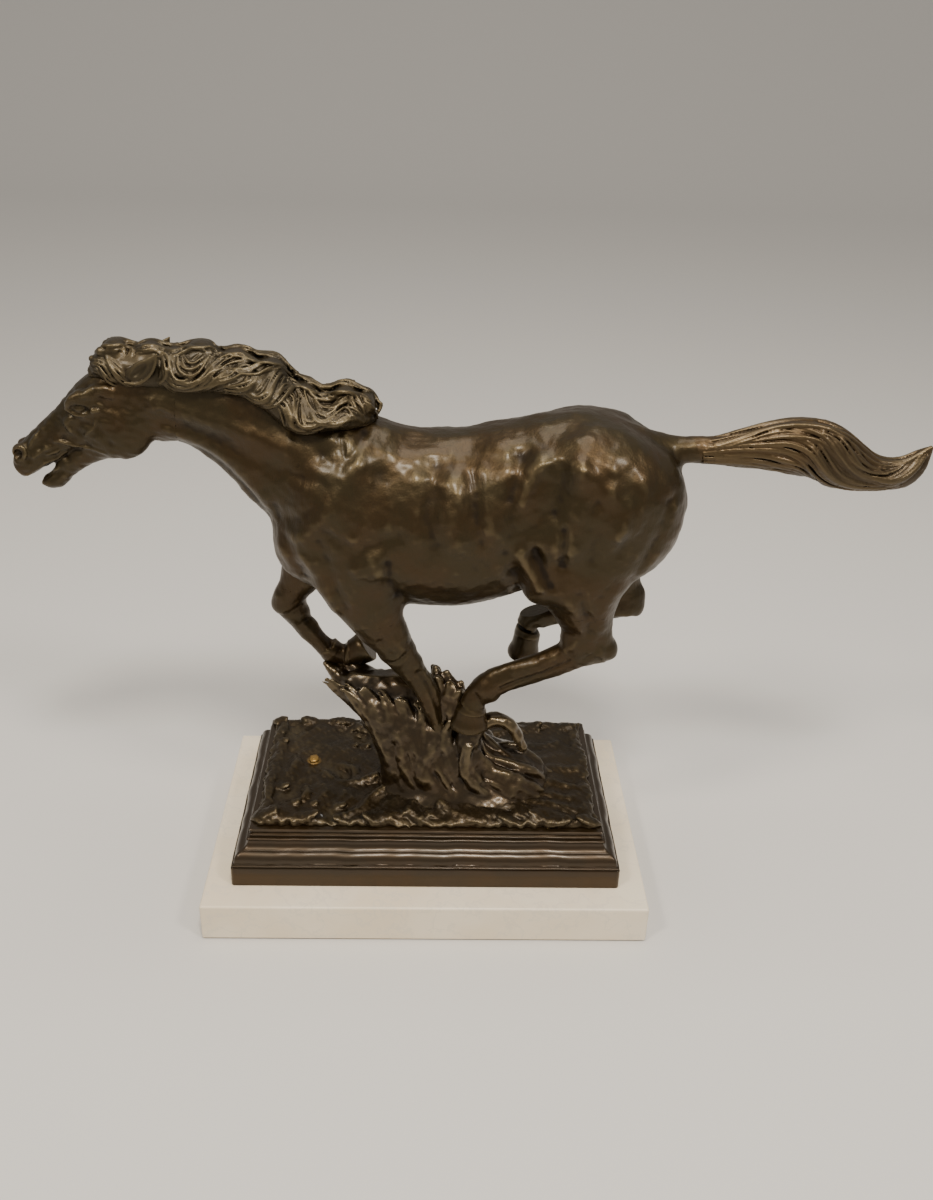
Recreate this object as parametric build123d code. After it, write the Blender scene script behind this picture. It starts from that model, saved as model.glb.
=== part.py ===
from build123d import *
import os
from math import cos, pi, radians, sin

# A cast-bronze galloping horse on a moulded bronze base, bolted to a marble plinth.
#
# Millimetres, +Z up.  The origin is the centre of the felt under the plinth, which is the face the
# statue rests on.  The horse runs towards -X, and its near (left) side faces -Y.
# The horse is made of lost-wax castings, each one a loft through oval sections.  A section is a pair
# of points on the casting's side profile, given as (x, height above the plinth's underside), with the
# section's offset and half-width across the horse.  The castings are butt-welded over dowel pins.

# ---- driving dimensions -------------------------------------------------------------------------
FELT = 1.5                      # thickness of the felt sheet under the plinth
FELT_MARGIN = 4                 # the felt stops this far inside the plinth's edge
PLINTH_L, PLINTH_W, PLINTH_H = 330, 214, 30
PLINTH_EDGE = 1.6               # eased edges of the marble
BASE_L, BASE_W = 290, 169       # the bronze base where it meets the marble
BASE_WALL = 4                   # thickness of the base casting
BAND_H = 17                     # the plain band at the foot of the base
OGEE_FOOT_INSET, OGEE_TOP_INSET = 2, 12
OGEE_SHOULDER_R, OGEE_SHOULDER_TURN = 5.5, 75        # the moulding's round shoulder, and its arc
OGEE_FOOT_Z, OGEE_TOP_Z = 19.5, 33
COVE_INSET = 14                 # the quiet neck above the ogee
BASE_H = 42.5                   # foot to the seat of the ground casting
GROUND_INSET = 17               # the ground casting's edge, inside the base's foot
GROUND_H = 5                    # plain thickness of the ground casting
SEAT_W = 14                     # the flange inside the base that the ground casting lies on
SHELL = 4.5                     # wall of the hollow horse castings
BOLT_D, BOLT_HEAD_AF, BOLT_HEAD_H = 6, 10, 4
BOLT_GRIP_ABOVE = 20            # how far the bolts run up into the base's bosses
BOLT_SPAN_X, BOLT_SPAN_Y = 236, 116
WASHER_D, WASHER_H = 12.5, 1.6
COUNTERBORE_D, COUNTERBORE_H = 17, 12
BOSS_D = 16
SCREW_D, SCREW_HEAD_D, SCREW_HEAD_H = 4, 7, 2.6
SCREW_SPAN_X, SCREW_SPAN_Y = 160, 118
SCREW_THREAD = 3.5              # how far the screws run up into the ground casting
STUMP_BOLTS = [(2, -6), (36, -12)]
STUMP_THREAD = 5                # how far the stump's bolts run up into its floor
CLEARANCE = 0.5                 # round a bolt's shank in the marble, on the radius
WASHER_CLEARANCE = 0.2          # round a bolt's shank in its washer, on the radius
TIP_GAP = 1                     # the base bolts stop this short of the bottom of their holes
CORNER_R = 2.5                  # upright corners of the base
GROUND_EDGE_R = 1.5             # corners and top edge of the ground casting
PIN_L = 18                      # the pins across the seams, half in each casting
LEG_PIN_D, LEG_PIN_SPACING = 3.5, 12
NECK_PIN_SPACING, HEAD_PIN_SPACING = 18, 24
SPIGOT_D, SPIGOT_L = 6, 20
CORE_PIN_D = 3
OVAL_POINTS = 10                # the points that an oval section is drawn through
CORE_PINS = [(-40, 300), (40, 302), (115, 312)]      # (x, height above the plinth's underside)
MANE_PINS = [(-105, 390), (-135, 398), (-160, 404)]
HOOF_PINS = [(5, -19.5, 126), (31, -24.5, 137), (-64, 25, 156)]

TOP_OF_PLINTH = FELT + PLINTH_H
TOP_OF_BASE = TOP_OF_PLINTH + BASE_H
TOP_OF_GROUND = TOP_OF_BASE + GROUND_H

# ---- side-profile sections: (point, opposite point, offset across, half-width across) -----------
TORSO = [
    ((-107, 287), (-106, 269), 0, 9),
    ((-101, 305), (-100, 257), 0, 25),
    ((-88, 330), (-87, 247), 0, 37),
    ((-70, 352), (-70, 240), 0, 44),
    ((-45, 363), (-45, 234), 0, 47),
    ((-15, 358), (-15, 232), 0, 49),
    ((15, 359), (15, 231), 0, 51),
    ((45, 364), (45, 237), 0, 50),
    ((75, 372), (75, 247), 0, 49),
    ((105, 375), (105, 250), 0, 51),
    ((130, 368), (130, 252), 0, 49),
    ((148, 358), (148, 262), 0, 42),
    ((163, 346), (163, 276), 0, 32),
    ((171, 333), (171, 291), 0, 19),
    ((174, 321), (174, 303), 0, 9),
]
NECK = [
    ((-58, 372), (-90, 262), 0, 37),
    ((-76, 379), (-109, 289), 0, 34),
    ((-95, 387), (-123, 305), 0, 30),
    ((-118, 399), (-140, 325), 0, 25),
    ((-143, 406), (-156, 340), 0, 20),
    ((-166, 408), (-171, 348), 0, 17.5),
    ((-190, 406), (-188, 350), 0, 16.5),
    ((-204, 400), (-200, 352), 0, 14),
]
HEAD = [
    ((-196, 398), (-192, 356), 0, 11),
    ((-207, 402), (-194, 345), 0, 15),
    ((-221, 397), (-203, 338), 0, 17),
    ((-233, 390), (-214, 336), 0, 17),
    ((-244, 378), (-226, 338), 0, 14),
    ((-254, 367), (-238, 341), 0, 11.5),
    ((-265, 357), (-249, 335), 0, 10),
    ((-275, 347), (-261, 330), 0, 10),
    ((-282, 339), (-272, 325), 0, 10),
    ((-285, 332), (-278, 322), 0, 7),
]
JAW = [
    ((-222, 352), (-210, 338), 0, 10),
    ((-236, 345), (-226, 334), 0, 9),
    ((-248, 337), (-240, 328), 0, 8),
    ((-257, 328), (-248, 321), 0, 7.5),
    ((-262, 323), (-254, 314), 0, 7),
    ((-267, 319), (-262, 313), 0, 5.5),
]
EAR = [
    ((-203, 395), (-192, 389), 9, 4),
    ((-200, 402), (-186, 394), 12, 4.5),
    ((-192, 408), (-181, 401), 14, 3),
    ((-182, 411), (-179, 408), 14, 1),
]
MANE = [
    ((-228, 400), (-224, 390), 0, 7),
    ((-218, 413), (-210, 386), 0, 15),
    ((-206, 417), (-200, 382), 0, 19),
    ((-185, 416), (-186, 381), 0, 22),
    ((-158, 417), (-162, 381), 0, 24),
    ((-133, 414), (-142, 382), 0, 26),
    ((-108, 409), (-122, 374), 0, 30),
    ((-84, 394), (-100, 360), 0, 33),
    ((-62, 391), (-78, 354), 0, 33),
    ((-46, 384), (-58, 358), 0, 24),
    ((-37, 371), (-42, 362), 0, 8),
]
TAIL = [
    ((150, 360), (160, 338), 0, 10),
    ((162, 358), (170, 341), 0, 8.5),
    ((177, 358), (184, 340), 0, 8),
    ((195, 359), (199, 340), 0, 8),
    ((208, 361), (213, 338), 0, 9),
    ((224, 369), (228, 332), 0, 12),
    ((242, 374), (248, 331), 0, 15),
    ((265, 373), (263, 331), 0, 16.5),
    ((280, 370), (276, 323), 0, 16.5),
    ((292, 363), (292, 322), 0, 15),
    ((305, 353), (308, 321), 0, 13),
    ((315, 348), (323, 320), 0, 11),
    ((324, 351), (337, 323), 0, 8),
    ((333, 355), (343, 333), 0, 5),
    ((341, 358), (345, 352), 0, 2.5),
]
NEAR_FORE = [
    ((-87, 275), (-27, 265), -30, 20),
    ((-76, 249), (-24, 246), -31, 18),
    ((-60, 227), (-20, 231), -30, 14),
    ((-48, 211), (-15, 220), -28, 12),
    ((-37, 200), (-12, 206), -26, 11),
    ((-32, 193), (-10, 200), -25, 9.5),
    ((-25, 183), (-6, 192), -24, 7.5),
    ((-17, 173), (0, 183), -22.5, 8),
    ((-8, 159), (8, 165), -21, 8),
    ((-2, 142), (10, 146), -20, 7),
    ((1, 122), (12, 124), -18, 6),
]
OFF_FORE = [
    ((-106, 262), (-66, 258), 24, 16),
    ((-110, 246), (-79, 240), 25, 14.5),
    ((-113, 228), (-85, 224), 26, 13.5),
    ((-119, 215), (-93, 213), 26.5, 12),
    ((-118, 207), (-94, 207), 27, 11),
    ((-111, 197), (-92, 202), 27, 9),
    ((-100, 184), (-84, 191), 27, 7.5),
    ((-88, 171), (-75, 181), 26.5, 8),
    ((-80, 161), (-69, 176), 26, 9),
    ((-71, 156), (-67, 175), 26, 8),
    ((-62, 156), (-63, 178), 26, 9),
    ((-53, 159), (-59, 181), 26, 11),
    ((-41, 164), (-55, 182), 26, 10.5),
]
NEAR_HIND = [
    ((66, 278), (153, 291), -28, 20),
    ((71, 260), (146, 268), -31, 19),
    ((76, 252), (134, 256), -32, 18),
    ((84, 239), (129, 241), -31, 15.5),
    ((91, 228), (128, 227), -30, 12.5),
    ((93, 222), (131, 214), -29, 11),
    ((93, 219), (133, 204), -28.5, 10),
    ((91, 216), (126, 196), -28, 9.5),
    ((87, 209), (111, 191), -27.5, 9),
    ((64, 196), (78, 177), -27, 7.5),
    ((46, 188), (57, 168), -26, 8),
    ((36, 179), (48, 163), -25.5, 9),
    ((25, 166), (43, 157), -25, 8.5),
    ((20, 151), (42, 151), -24.5, 10),
    ((17, 144), (43, 142), -24.5, 11.5),
    ((21, 135), (40, 135), -24.5, 10),
]
OFF_HIND = [
    ((83, 273), (163, 276), 28, 20),
    ((92, 246), (158, 256), 31, 19),
    ((101, 228), (157, 242), 31, 17),
    ((120, 219), (158, 230), 31, 12),
    ((129, 216), (162, 218), 30, 10.5),
    ((130, 212), (160, 207), 29.5, 10),
    ((134, 207), (151, 204), 29, 7),
]
OFF_HIND_CANNON = [
    ((152, 220), (150, 203), 30, 8),
    ((130, 215), (132, 199), 29, 8.5),
    ((106, 213), (111, 196), 28, 7.5),
    ((90, 214), (94, 194), 27, 8.5),
    ((77, 213), (87, 192), 26.5, 9),
    ((70, 206), (80, 192), 26, 7),
]
OFF_HIND_FOOT = [
    ((71, 211), (86, 199), 26, 7.5),
    ((67, 200), (83, 191), 26, 8),
    ((64, 188), (83, 184), 26, 9),
    ((60, 174), (84, 172), 26, 11.5),
    ((63, 167), (81, 167), 26, 9),
]
# Where the horse is cut for casting: the seam is the section of this index.
NEAR_FORE_SEAM, OFF_FORE_SEAM, NEAR_HIND_SEAM, OFF_HIND_SEAM = 2, 2, 3, 3
OFF_FORE_KNEE, NEAR_HIND_HOCK = 6, 5    # the tight bends, where a leg's loft is made in two
NECK_SEAM, HEAD_SEAM, TAIL_SEAM = 1, 5, 2

# ---- level ovals of the stump: (height above the plinth's underside, x, y, half-length, half-width)
TRUNK = [
    (77.5, 22, -8, 66, 46),
    (90, 18, -7, 53, 37),
    (108, 2, -4, 43, 29),
    (128, -14, 2, 46, 25),
    (146, -24, 6, 49, 20),
    (155, -26, 8, 46, 12),
]
TRUNK_CORE = [(84, 18, -7, 48, 30), (108, 2, -4, 36, 22), (128, -14, 2, 38, 18), (140, -20, 4, 36, 12)]
HOOF_REST = [(108, 24, -16, 20, 14), (126, 31, -24, 15, 11), (138, 31, -24.5, 13, 10)]
STUMP_ARM = [
    ((-40, 120), (-28, 155), 8, 16),
    ((-55, 129), (-47, 157), 15, 14),
    ((-66, 140), (-59, 158), 20, 12),
    ((-77, 151), (-70, 161), 23, 7),
]
STUMP_PEAK = [
    ((-10, 138), (26, 132), 2, 16),
    ((-8, 156), (20, 152), 0, 11),
    ((1, 170), (14, 167), -3, 6),
    ((4, 176), (9, 174), -4, 2.5),
]
BRANCH_OVER = [
    ((34, 128), (34, 106), -14, 12),
    ((50, 149), (53, 132), -18, 8),
    ((66, 144), (58, 130), -19, 7),
    ((80, 122), (66, 112), -18, 9),
]
BRANCH_DOWN = [
    ((80, 122), (66, 112), -18, 9),
    ((92, 98), (70, 92), -15, 12),
    ((100, 77.5), (68, 77.5), -12, 14),
]


# ---- helpers ------------------------------------------------------------------------------------
def ring(centre, half_axis, other_half_axis):
    """A closed oval face through points spaced evenly round its centre."""
    points = []
    for i in range(OVAL_POINTS):
        turn = 2 * pi * i / OVAL_POINTS
        points.append(centre + half_axis * cos(turn) + other_half_axis * sin(turn))
    return make_face(Spline(*points, periodic=True))


def oval(front, back, across, half_width):
    """An oval section whose one axis joins two points of the side profile."""
    (x1, z1), (x2, z2) = front, back
    centre = Vector((x1 + x2) / 2, across, (z1 + z2) / 2 + FELT)
    return ring(centre, Vector((x1 - x2) / 2, 0, (z1 - z2) / 2), Vector(0, half_width, 0))


def limb(sections):
    """A smooth solid through oval sections."""
    return loft([oval(*section) for section in sections])


def stack(ovals):
    """A smooth solid through level ovals, given bottom to top."""
    return loft([
        ring(Vector(x, y, z + FELT), Vector(length, 0, 0), Vector(0, width, 0))
        for z, x, y, length, width in ovals
    ])


def shrunk(sections, wall):
    """The same sections, a wall's thickness smaller all round."""
    smaller = []
    for (x1, z1), (x2, z2), across, half_width in sections:
        long = ((x1 - x2) ** 2 + (z1 - z2) ** 2) ** 0.5
        keep = 1 - 2 * wall / long
        cx, cz = (x1 + x2) / 2, (z1 + z2) / 2
        front = (cx + (x1 - cx) * keep, cz + (z1 - cz) * keep)
        back = (cx + (x2 - cx) * keep, cz + (z2 - cz) * keep)
        smaller.append((front, back, across, half_width - wall))
    return smaller


def rod(start, end, diameter):
    """A round rod between two points, heights above the plinth's underside."""
    a, b = (Vector(p) + Vector(0, 0, FELT) for p in (start, end))
    return Plane(origin=a, z_dir=b - a) * extrude(Circle(diameter / 2), (b - a).length)


def main_solid(shape):
    """The largest solid of a cut, without the slivers that a saddle cut can leave."""
    return max(shape.solids(), key=lambda s: s.volume)


def corners(span_x, span_y):
    """The four corners of a rectangle about the origin."""
    return [(sx * span_x / 2, sy * span_y / 2) for sx in (-1, 1) for sy in (-1, 1)]


def level_rectangle(inset, z, radius):
    """The base's rounded rectangle at a height, set in from its foot."""
    return Plane(origin=(0, 0, z)) * RectangleRounded(BASE_L - 2 * inset, BASE_W - 2 * inset, radius)


# ---- plinth and base ----------------------------------------------------------------------------
def make_felt():
    length, width = PLINTH_L - 2 * FELT_MARGIN, PLINTH_W - 2 * FELT_MARGIN
    return Pos(0, 0, FELT / 2) * Box(length, width, FELT)


def make_plinth():
    slab = Pos(0, 0, FELT + PLINTH_H / 2) * Box(PLINTH_L, PLINTH_W, PLINTH_H)
    slab = fillet(slab.edges().filter_by(Axis.Z) + slab.edges().group_by(Axis.Z)[-1], PLINTH_EDGE)
    for x, y in corners(BOLT_SPAN_X, BOLT_SPAN_Y):
        clearance = Cylinder(BOLT_D / 2 + CLEARANCE, PLINTH_H * 3)
        counterbore = Pos(0, 0, FELT) * Cylinder(COUNTERBORE_D / 2, 2 * COUNTERBORE_H)
        slab -= Pos(x, y, 0) * (clearance + counterbore)
    return slab


def ogee(steps):
    """The base's moulding as (inset, height) points: a round shoulder, then a hollow above it."""
    points = []
    for i in range(steps + 1):
        turn = radians(OGEE_SHOULDER_TURN) * i / steps
        inset = OGEE_FOOT_INSET + OGEE_SHOULDER_R * (1 - cos(turn))
        points.append((inset, OGEE_FOOT_Z + OGEE_SHOULDER_R * sin(turn)))
    start_inset, start_z = points[-1]
    for i in range(1, steps + 1):
        turn = pi / 2 * i / steps
        inset = start_inset + (OGEE_TOP_INSET - start_inset) * sin(turn)
        points.append((inset, start_z + (OGEE_TOP_Z - start_z) * (1 - cos(turn))))
    return points


def base_profile():
    """(inset, height) of the base's outside, from its foot to the ground casting's seat."""
    foot = [(0, 0), (0, BAND_H), (1.6, BAND_H + 0.8), (1.6, OGEE_FOOT_Z - 0.8)]
    bead = [(OGEE_TOP_INSET - 0.6, 33.4), (OGEE_TOP_INSET - 0.6, 35.2), (COVE_INSET, 35.8)]
    neck = [(COVE_INSET + 0.6, 38), (COVE_INSET, 40.4), (COVE_INSET - 0.8, 41), (COVE_INSET - 0.8, BASE_H)]
    return foot + ogee(6) + bead + neck


def make_base():
    levels = [level_rectangle(d, TOP_OF_PLINTH + z, CORNER_R).face() for d, z in base_profile()]
    body = loft(levels, ruled=True)
    hollow_l, hollow_w = BASE_L - 2 * COVE_INSET - 2 * BASE_WALL, BASE_W - 2 * COVE_INSET - 2 * BASE_WALL
    hollow_h = BASE_H - BASE_WALL
    body -= Pos(0, 0, TOP_OF_PLINTH + hollow_h / 2) * Box(hollow_l, hollow_w, hollow_h)
    window_l, window_w = hollow_l - 2 * SEAT_W, hollow_w - 2 * SEAT_W
    body -= Pos(0, 0, TOP_OF_BASE) * Box(window_l, window_w, 4 * BASE_WALL)
    for x, y in corners(BOLT_SPAN_X, BOLT_SPAN_Y):
        body += Pos(x, y, TOP_OF_PLINTH + hollow_h / 2) * Cylinder(BOSS_D / 2, hollow_h)
    for x, y in corners(BOLT_SPAN_X, BOLT_SPAN_Y):
        body -= Pos(x, y, TOP_OF_PLINTH + BOLT_GRIP_ABOVE / 2) * Cylinder(BOLT_D / 2, BOLT_GRIP_ABOVE)
    for x, y in corners(SCREW_SPAN_X, SCREW_SPAN_Y):
        body -= Pos(x, y, TOP_OF_BASE) * Cylinder(SCREW_D / 2, 4 * BASE_WALL)
    return body


def make_bolts():
    """Four hexagon bolts that hold the base to the marble from below."""
    shank_l = PLINTH_H - COUNTERBORE_H + WASHER_H + BOLT_GRIP_ABOVE - TIP_GAP
    head_z = FELT + COUNTERBORE_H - WASHER_H
    bolts = []
    for x, y in corners(BOLT_SPAN_X, BOLT_SPAN_Y):
        head = extrude(RegularPolygon(BOLT_HEAD_AF / 2, 6, major_radius=False), BOLT_HEAD_H)
        shank = Pos(0, 0, BOLT_HEAD_H) * extrude(Circle(BOLT_D / 2), shank_l)
        bolts.append(Pos(x, y, head_z - BOLT_HEAD_H) * (head + shank))
    return Compound(bolts)


def make_washers():
    washer = extrude(Circle(WASHER_D / 2) - Circle(BOLT_D / 2 + WASHER_CLEARANCE), WASHER_H)
    z = FELT + COUNTERBORE_H - WASHER_H
    return Compound([Pos(x, y, z) * washer for x, y in corners(BOLT_SPAN_X, BOLT_SPAN_Y)])


def make_ground():
    length, width = BASE_L - 2 * GROUND_INSET, BASE_W - 2 * GROUND_INSET
    slab = Pos(0, 0, TOP_OF_BASE + GROUND_H / 2) * Box(length, width, GROUND_H)
    slab = fillet(slab.edges().filter_by(Axis.Z) + slab.edges().group_by(Axis.Z)[-1], GROUND_EDGE_R)
    for x, y in corners(SCREW_SPAN_X, SCREW_SPAN_Y):
        slab -= Pos(x, y, TOP_OF_BASE) * Cylinder(SCREW_D / 2, 2 * SCREW_THREAD)
    for x, y in STUMP_BOLTS:
        slab -= Pos(x, y, TOP_OF_BASE) * Cylinder(BOLT_D / 2, 4 * GROUND_H)
    return slab


def make_ground_screws():
    """Four cheese-head screws that hold the ground casting down on the base's flange."""
    screw = extrude(Circle(SCREW_HEAD_D / 2), SCREW_HEAD_H)
    screw += Pos(0, 0, SCREW_HEAD_H) * extrude(Circle(SCREW_D / 2), BASE_WALL + SCREW_THREAD)
    z = TOP_OF_BASE - BASE_WALL - SCREW_HEAD_H
    return Compound([Pos(x, y, z) * screw for x, y in corners(SCREW_SPAN_X, SCREW_SPAN_Y)])


def make_stump():
    trunk = stack(TRUNK) + stack(HOOF_REST) + limb(STUMP_ARM) + limb(STUMP_PEAK)
    branch = limb(BRANCH_OVER) + limb(BRANCH_DOWN)
    below = Pos(0, 0, TOP_OF_GROUND - PLINTH_L / 2) * Box(PLINTH_L, PLINTH_L, PLINTH_L)
    return main_solid(trunk + branch - below - stack(TRUNK_CORE))


def make_stump_bolts():
    """Two hexagon bolts from under the ground casting into the stump's thick floor."""
    bolts = []
    for x, y in STUMP_BOLTS:
        head = extrude(RegularPolygon(BOLT_HEAD_AF / 2, 6, major_radius=False), BOLT_HEAD_H)
        shank = Pos(0, 0, BOLT_HEAD_H) * extrude(Circle(BOLT_D / 2), GROUND_H + STUMP_THREAD)
        bolts.append(Pos(x, y, TOP_OF_BASE - BOLT_HEAD_H) * (head + shank))
    return Compound(bolts)


# ---- the horse ----------------------------------------------------------------------------------
def seam_pins(section, spacing, count, diameter, length):
    """Round pins across a seam, in a row along the section's long axis."""
    (x1, z1), (x2, z2), across, _ = section
    along = Vector(x1 - x2, 0, z1 - z2).normalized()
    normal = along.cross(Vector(0, 1, 0))
    centre = Vector((x1 + x2) / 2, across, (z1 + z2) / 2)
    pins = []
    for i in range(count):
        middle = centre + along * spacing * (i - (count - 1) / 2)
        pins.append(rod(middle - normal * length / 2, middle + normal * length / 2, diameter))
    return pins


def make_skull():
    skull = limb(HEAD) + limb(JAW) + limb(NECK[HEAD_SEAM:])
    for side in (-1, 1):
        skull += limb([(a, b, side * y, w) for a, b, y, w in EAR])
    return skull


def make_torso():
    torso = limb(TORSO) + limb(NECK[:NECK_SEAM + 1]) + limb(TAIL[:TAIL_SEAM + 1])
    torso += limb(NEAR_FORE[:NEAR_FORE_SEAM + 1]) + limb(OFF_FORE[:OFF_FORE_SEAM + 1])
    torso += limb(NEAR_HIND[:NEAR_HIND_SEAM + 1]) + limb(OFF_HIND[:OFF_HIND_SEAM + 1])
    return torso


def make_castings():
    """Each casting as a solid: where two meet, the later one is cut to the earlier one's skin."""
    torso, stump = make_torso(), make_stump()
    neck = limb(NECK[NECK_SEAM:HEAD_SEAM + 1]) - torso
    skull = make_skull() - neck - torso
    off_fore = limb(OFF_FORE[OFF_FORE_SEAM:OFF_FORE_KNEE + 1]) + limb(OFF_FORE[OFF_FORE_KNEE:])
    near_hind = limb(NEAR_HIND[NEAR_HIND_SEAM:NEAR_HIND_HOCK + 1]) + limb(NEAR_HIND[NEAR_HIND_HOCK:])
    off_hind = limb(OFF_HIND[OFF_HIND_SEAM:]) + limb(OFF_HIND_CANNON) + limb(OFF_HIND_FOOT)
    solids = {
        "stump_casting": stump,
        "near_fore_leg_casting": limb(NEAR_FORE[NEAR_FORE_SEAM:]) - torso - stump,
        "off_fore_leg_casting": off_fore - torso - stump,
        "near_hind_leg_casting": near_hind - torso - stump,
        "off_hind_leg_casting": off_hind - torso,
        "tail_casting": limb(TAIL[TAIL_SEAM:]) - torso,
        "mane_casting": limb(MANE) - neck - torso - skull,
        "head_casting": skull,
        "neck_casting": neck - limb(shrunk(NECK[NECK_SEAM + 1:HEAD_SEAM], SHELL)),
        "torso_casting": torso - limb(shrunk(TORSO[2:-3], SHELL)),
    }
    return {name: main_solid(solid) for name, solid in solids.items()}


def upright_pin(x, y, z, diameter):
    """An upright pin whose middle is at a point."""
    return rod((x, y, z - PIN_L / 2), (x, y, z + PIN_L / 2), diameter)


def make_pins():
    """The pins that line the castings up for welding, by node."""
    leg_seams = [
        NEAR_FORE[NEAR_FORE_SEAM], OFF_FORE[OFF_FORE_SEAM],
        NEAR_HIND[NEAR_HIND_SEAM], OFF_HIND[OFF_HIND_SEAM],
    ]
    legs = [pin for seam in leg_seams for pin in seam_pins(seam, LEG_PIN_SPACING, 2, LEG_PIN_D, PIN_L)]
    return {
        "leg_dowels": legs,
        "neck_dowels": seam_pins(NECK[NECK_SEAM], NECK_PIN_SPACING, 3, LEG_PIN_D, PIN_L),
        "head_dowels": seam_pins(NECK[HEAD_SEAM], HEAD_PIN_SPACING, 2, LEG_PIN_D, PIN_L),
        "tail_spigot": seam_pins(TAIL[TAIL_SEAM], 0, 1, SPIGOT_D, SPIGOT_L),
        "mane_pins": [upright_pin(x, 0, z, CORE_PIN_D) for x, z in MANE_PINS],
        "hoof_pins": [upright_pin(x, y, z, LEG_PIN_D) for x, y, z in HOOF_PINS],
    }


def core_pin_rods():
    """Where the core pins held the torso's core, three on each flank."""
    return [
        rod((x, side * 20, z), (x, side * 60, z), CORE_PIN_D)
        for x, z in CORE_PINS
        for side in (-1, 1)
    ]


def make_horse():
    castings, pins = make_castings(), make_pins()
    torso = castings["torso_casting"]
    plugs = [main_solid(torso & pin) for pin in core_pin_rods()]
    for pin in core_pin_rods():
        torso -= pin
    castings["torso_casting"] = torso
    for group in pins.values():
        for pin in group:
            for name, casting in castings.items():
                if casting.bounding_box().overlaps(pin.bounding_box()):
                    castings[name] = main_solid(casting - pin)
    for bolt in make_stump_bolts().solids():
        castings["stump_casting"] = main_solid(castings["stump_casting"] - bolt)
    nodes = {name: Compound(group) for name, group in pins.items()}
    return castings | nodes | {"core_pin_plugs": Compound(plugs)}


def main():
    os.makedirs("parts", exist_ok=True)
    nodes = {
        "felt_sheet": make_felt(),
        "marble_plinth": make_plinth(),
        "base_casting": make_base(),
        "plinth_bolts": make_bolts(),
        "plinth_washers": make_washers(),
        "ground_casting": make_ground(),
        "ground_screws": make_ground_screws(),
        "stump_bolts": make_stump_bolts(),
    }
    nodes.update(make_horse())
    for name, shape in nodes.items():
        export_step(shape, f"parts/{name}.step")
        box = shape.bounding_box()
        print(f"{name:24s} {shape.volume / 1000:8.1f} cm3  {box.min} {box.max}")


main()
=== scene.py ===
# %% [markdown]
# # A galloping bronze horse, modelled like wax and cast in pieces
# The statue is a lost-wax bronze.  A sculptor models it in wax or clay: first the big masses, then the
# muscles, then hair and skin.  The foundry cuts the wax at a few planes, casts each length by itself and
# welds the castings together again.  This lesson follows the same order.  Every form is worked out with
# numpy in millimetres, with z counted from the plinth's underside, and is turned into metres at the end.

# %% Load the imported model
import math

import bmesh
import bpy
import numpy as np
import openvdb
from mathutils import Matrix, Vector

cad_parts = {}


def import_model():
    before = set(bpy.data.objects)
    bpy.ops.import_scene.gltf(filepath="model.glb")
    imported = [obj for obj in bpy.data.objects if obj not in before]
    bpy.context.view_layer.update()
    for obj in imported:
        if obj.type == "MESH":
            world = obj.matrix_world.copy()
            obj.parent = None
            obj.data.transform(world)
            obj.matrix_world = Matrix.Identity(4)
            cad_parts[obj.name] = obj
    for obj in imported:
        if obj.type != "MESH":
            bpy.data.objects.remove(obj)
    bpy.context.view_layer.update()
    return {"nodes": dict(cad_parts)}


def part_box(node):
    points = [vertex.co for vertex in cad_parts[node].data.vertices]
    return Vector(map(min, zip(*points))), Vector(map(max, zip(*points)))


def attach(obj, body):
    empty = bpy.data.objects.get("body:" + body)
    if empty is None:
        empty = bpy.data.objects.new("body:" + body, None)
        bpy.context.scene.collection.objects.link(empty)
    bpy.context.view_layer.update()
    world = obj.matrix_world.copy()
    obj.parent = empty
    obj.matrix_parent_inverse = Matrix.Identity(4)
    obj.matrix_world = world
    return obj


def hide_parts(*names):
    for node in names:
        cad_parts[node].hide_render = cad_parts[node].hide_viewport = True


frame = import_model()
MM = 0.001
FELT_MM = 1.5

# %% [markdown]
# ## Where the eye is
# The statue stands on a table below the eye, so the camera looks down by almost thirty degrees, with a
# moderately wide lens.  Yaw, pitch and roll turn it, and the lens is given for a 36 mm wide sensor.

# %% Camera
EYE = (-0.0023, -0.7281, 0.6301)
YAW, PITCH, ROLL = (math.radians(a) for a in (2.233, 28.710, 2.001))
LENS_MM = 34.1


def turned_axes(yaw, pitch, roll):
    """Right, up and backward axes of an eye that is turned, tipped down and rolled, in that order."""
    ahead = np.array([
        math.sin(yaw) * math.cos(pitch),
        math.cos(yaw) * math.cos(pitch),
        -math.sin(pitch),
    ])
    right = np.array([math.cos(yaw), -math.sin(yaw), 0.0])
    up = np.cross(right, ahead)
    rolled_right = math.cos(roll) * right + math.sin(roll) * up
    rolled_up = math.cos(roll) * up - math.sin(roll) * right
    return rolled_right, rolled_up, -ahead


camera_data = bpy.data.cameras.new("eye")
camera_data.lens = LENS_MM
camera_data.sensor_width = 36
camera_data.sensor_fit = "AUTO"
camera_data.clip_start = 0.02
camera = bpy.data.objects.new("eye", camera_data)
bpy.context.collection.objects.link(camera)
axes = np.stack(turned_axes(YAW, PITCH, ROLL), axis=1)
camera.matrix_world = Matrix.Translation(EYE) @ Matrix(axes.tolist()).to_4x4()
bpy.context.scene.camera = camera
print("eye height above the table", EYE[2])

# %% [markdown]
# ## A block of modelling clay
# Clay is kept as distances: a grid of numbers says how far each place is from the surface, negative
# inside.  Two lumps are pressed together by taking the smaller distance, with a smooth step between
# them, which gives the soft fillets of wax.  A stroke of the thumb or the modelling tool adds to or takes
# from the distances along a line.  When the form is done, the surface where the distance is zero is
# drawn off as a mesh.  Modifiers could join tubes too, but only this leaves no crease where muscles meet.

# %% The clay block
FAR = 12.0
COARSE = 1.0
STROKE_REACH = 7                       # distances stay true this far from the skin, for strokes to use


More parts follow.
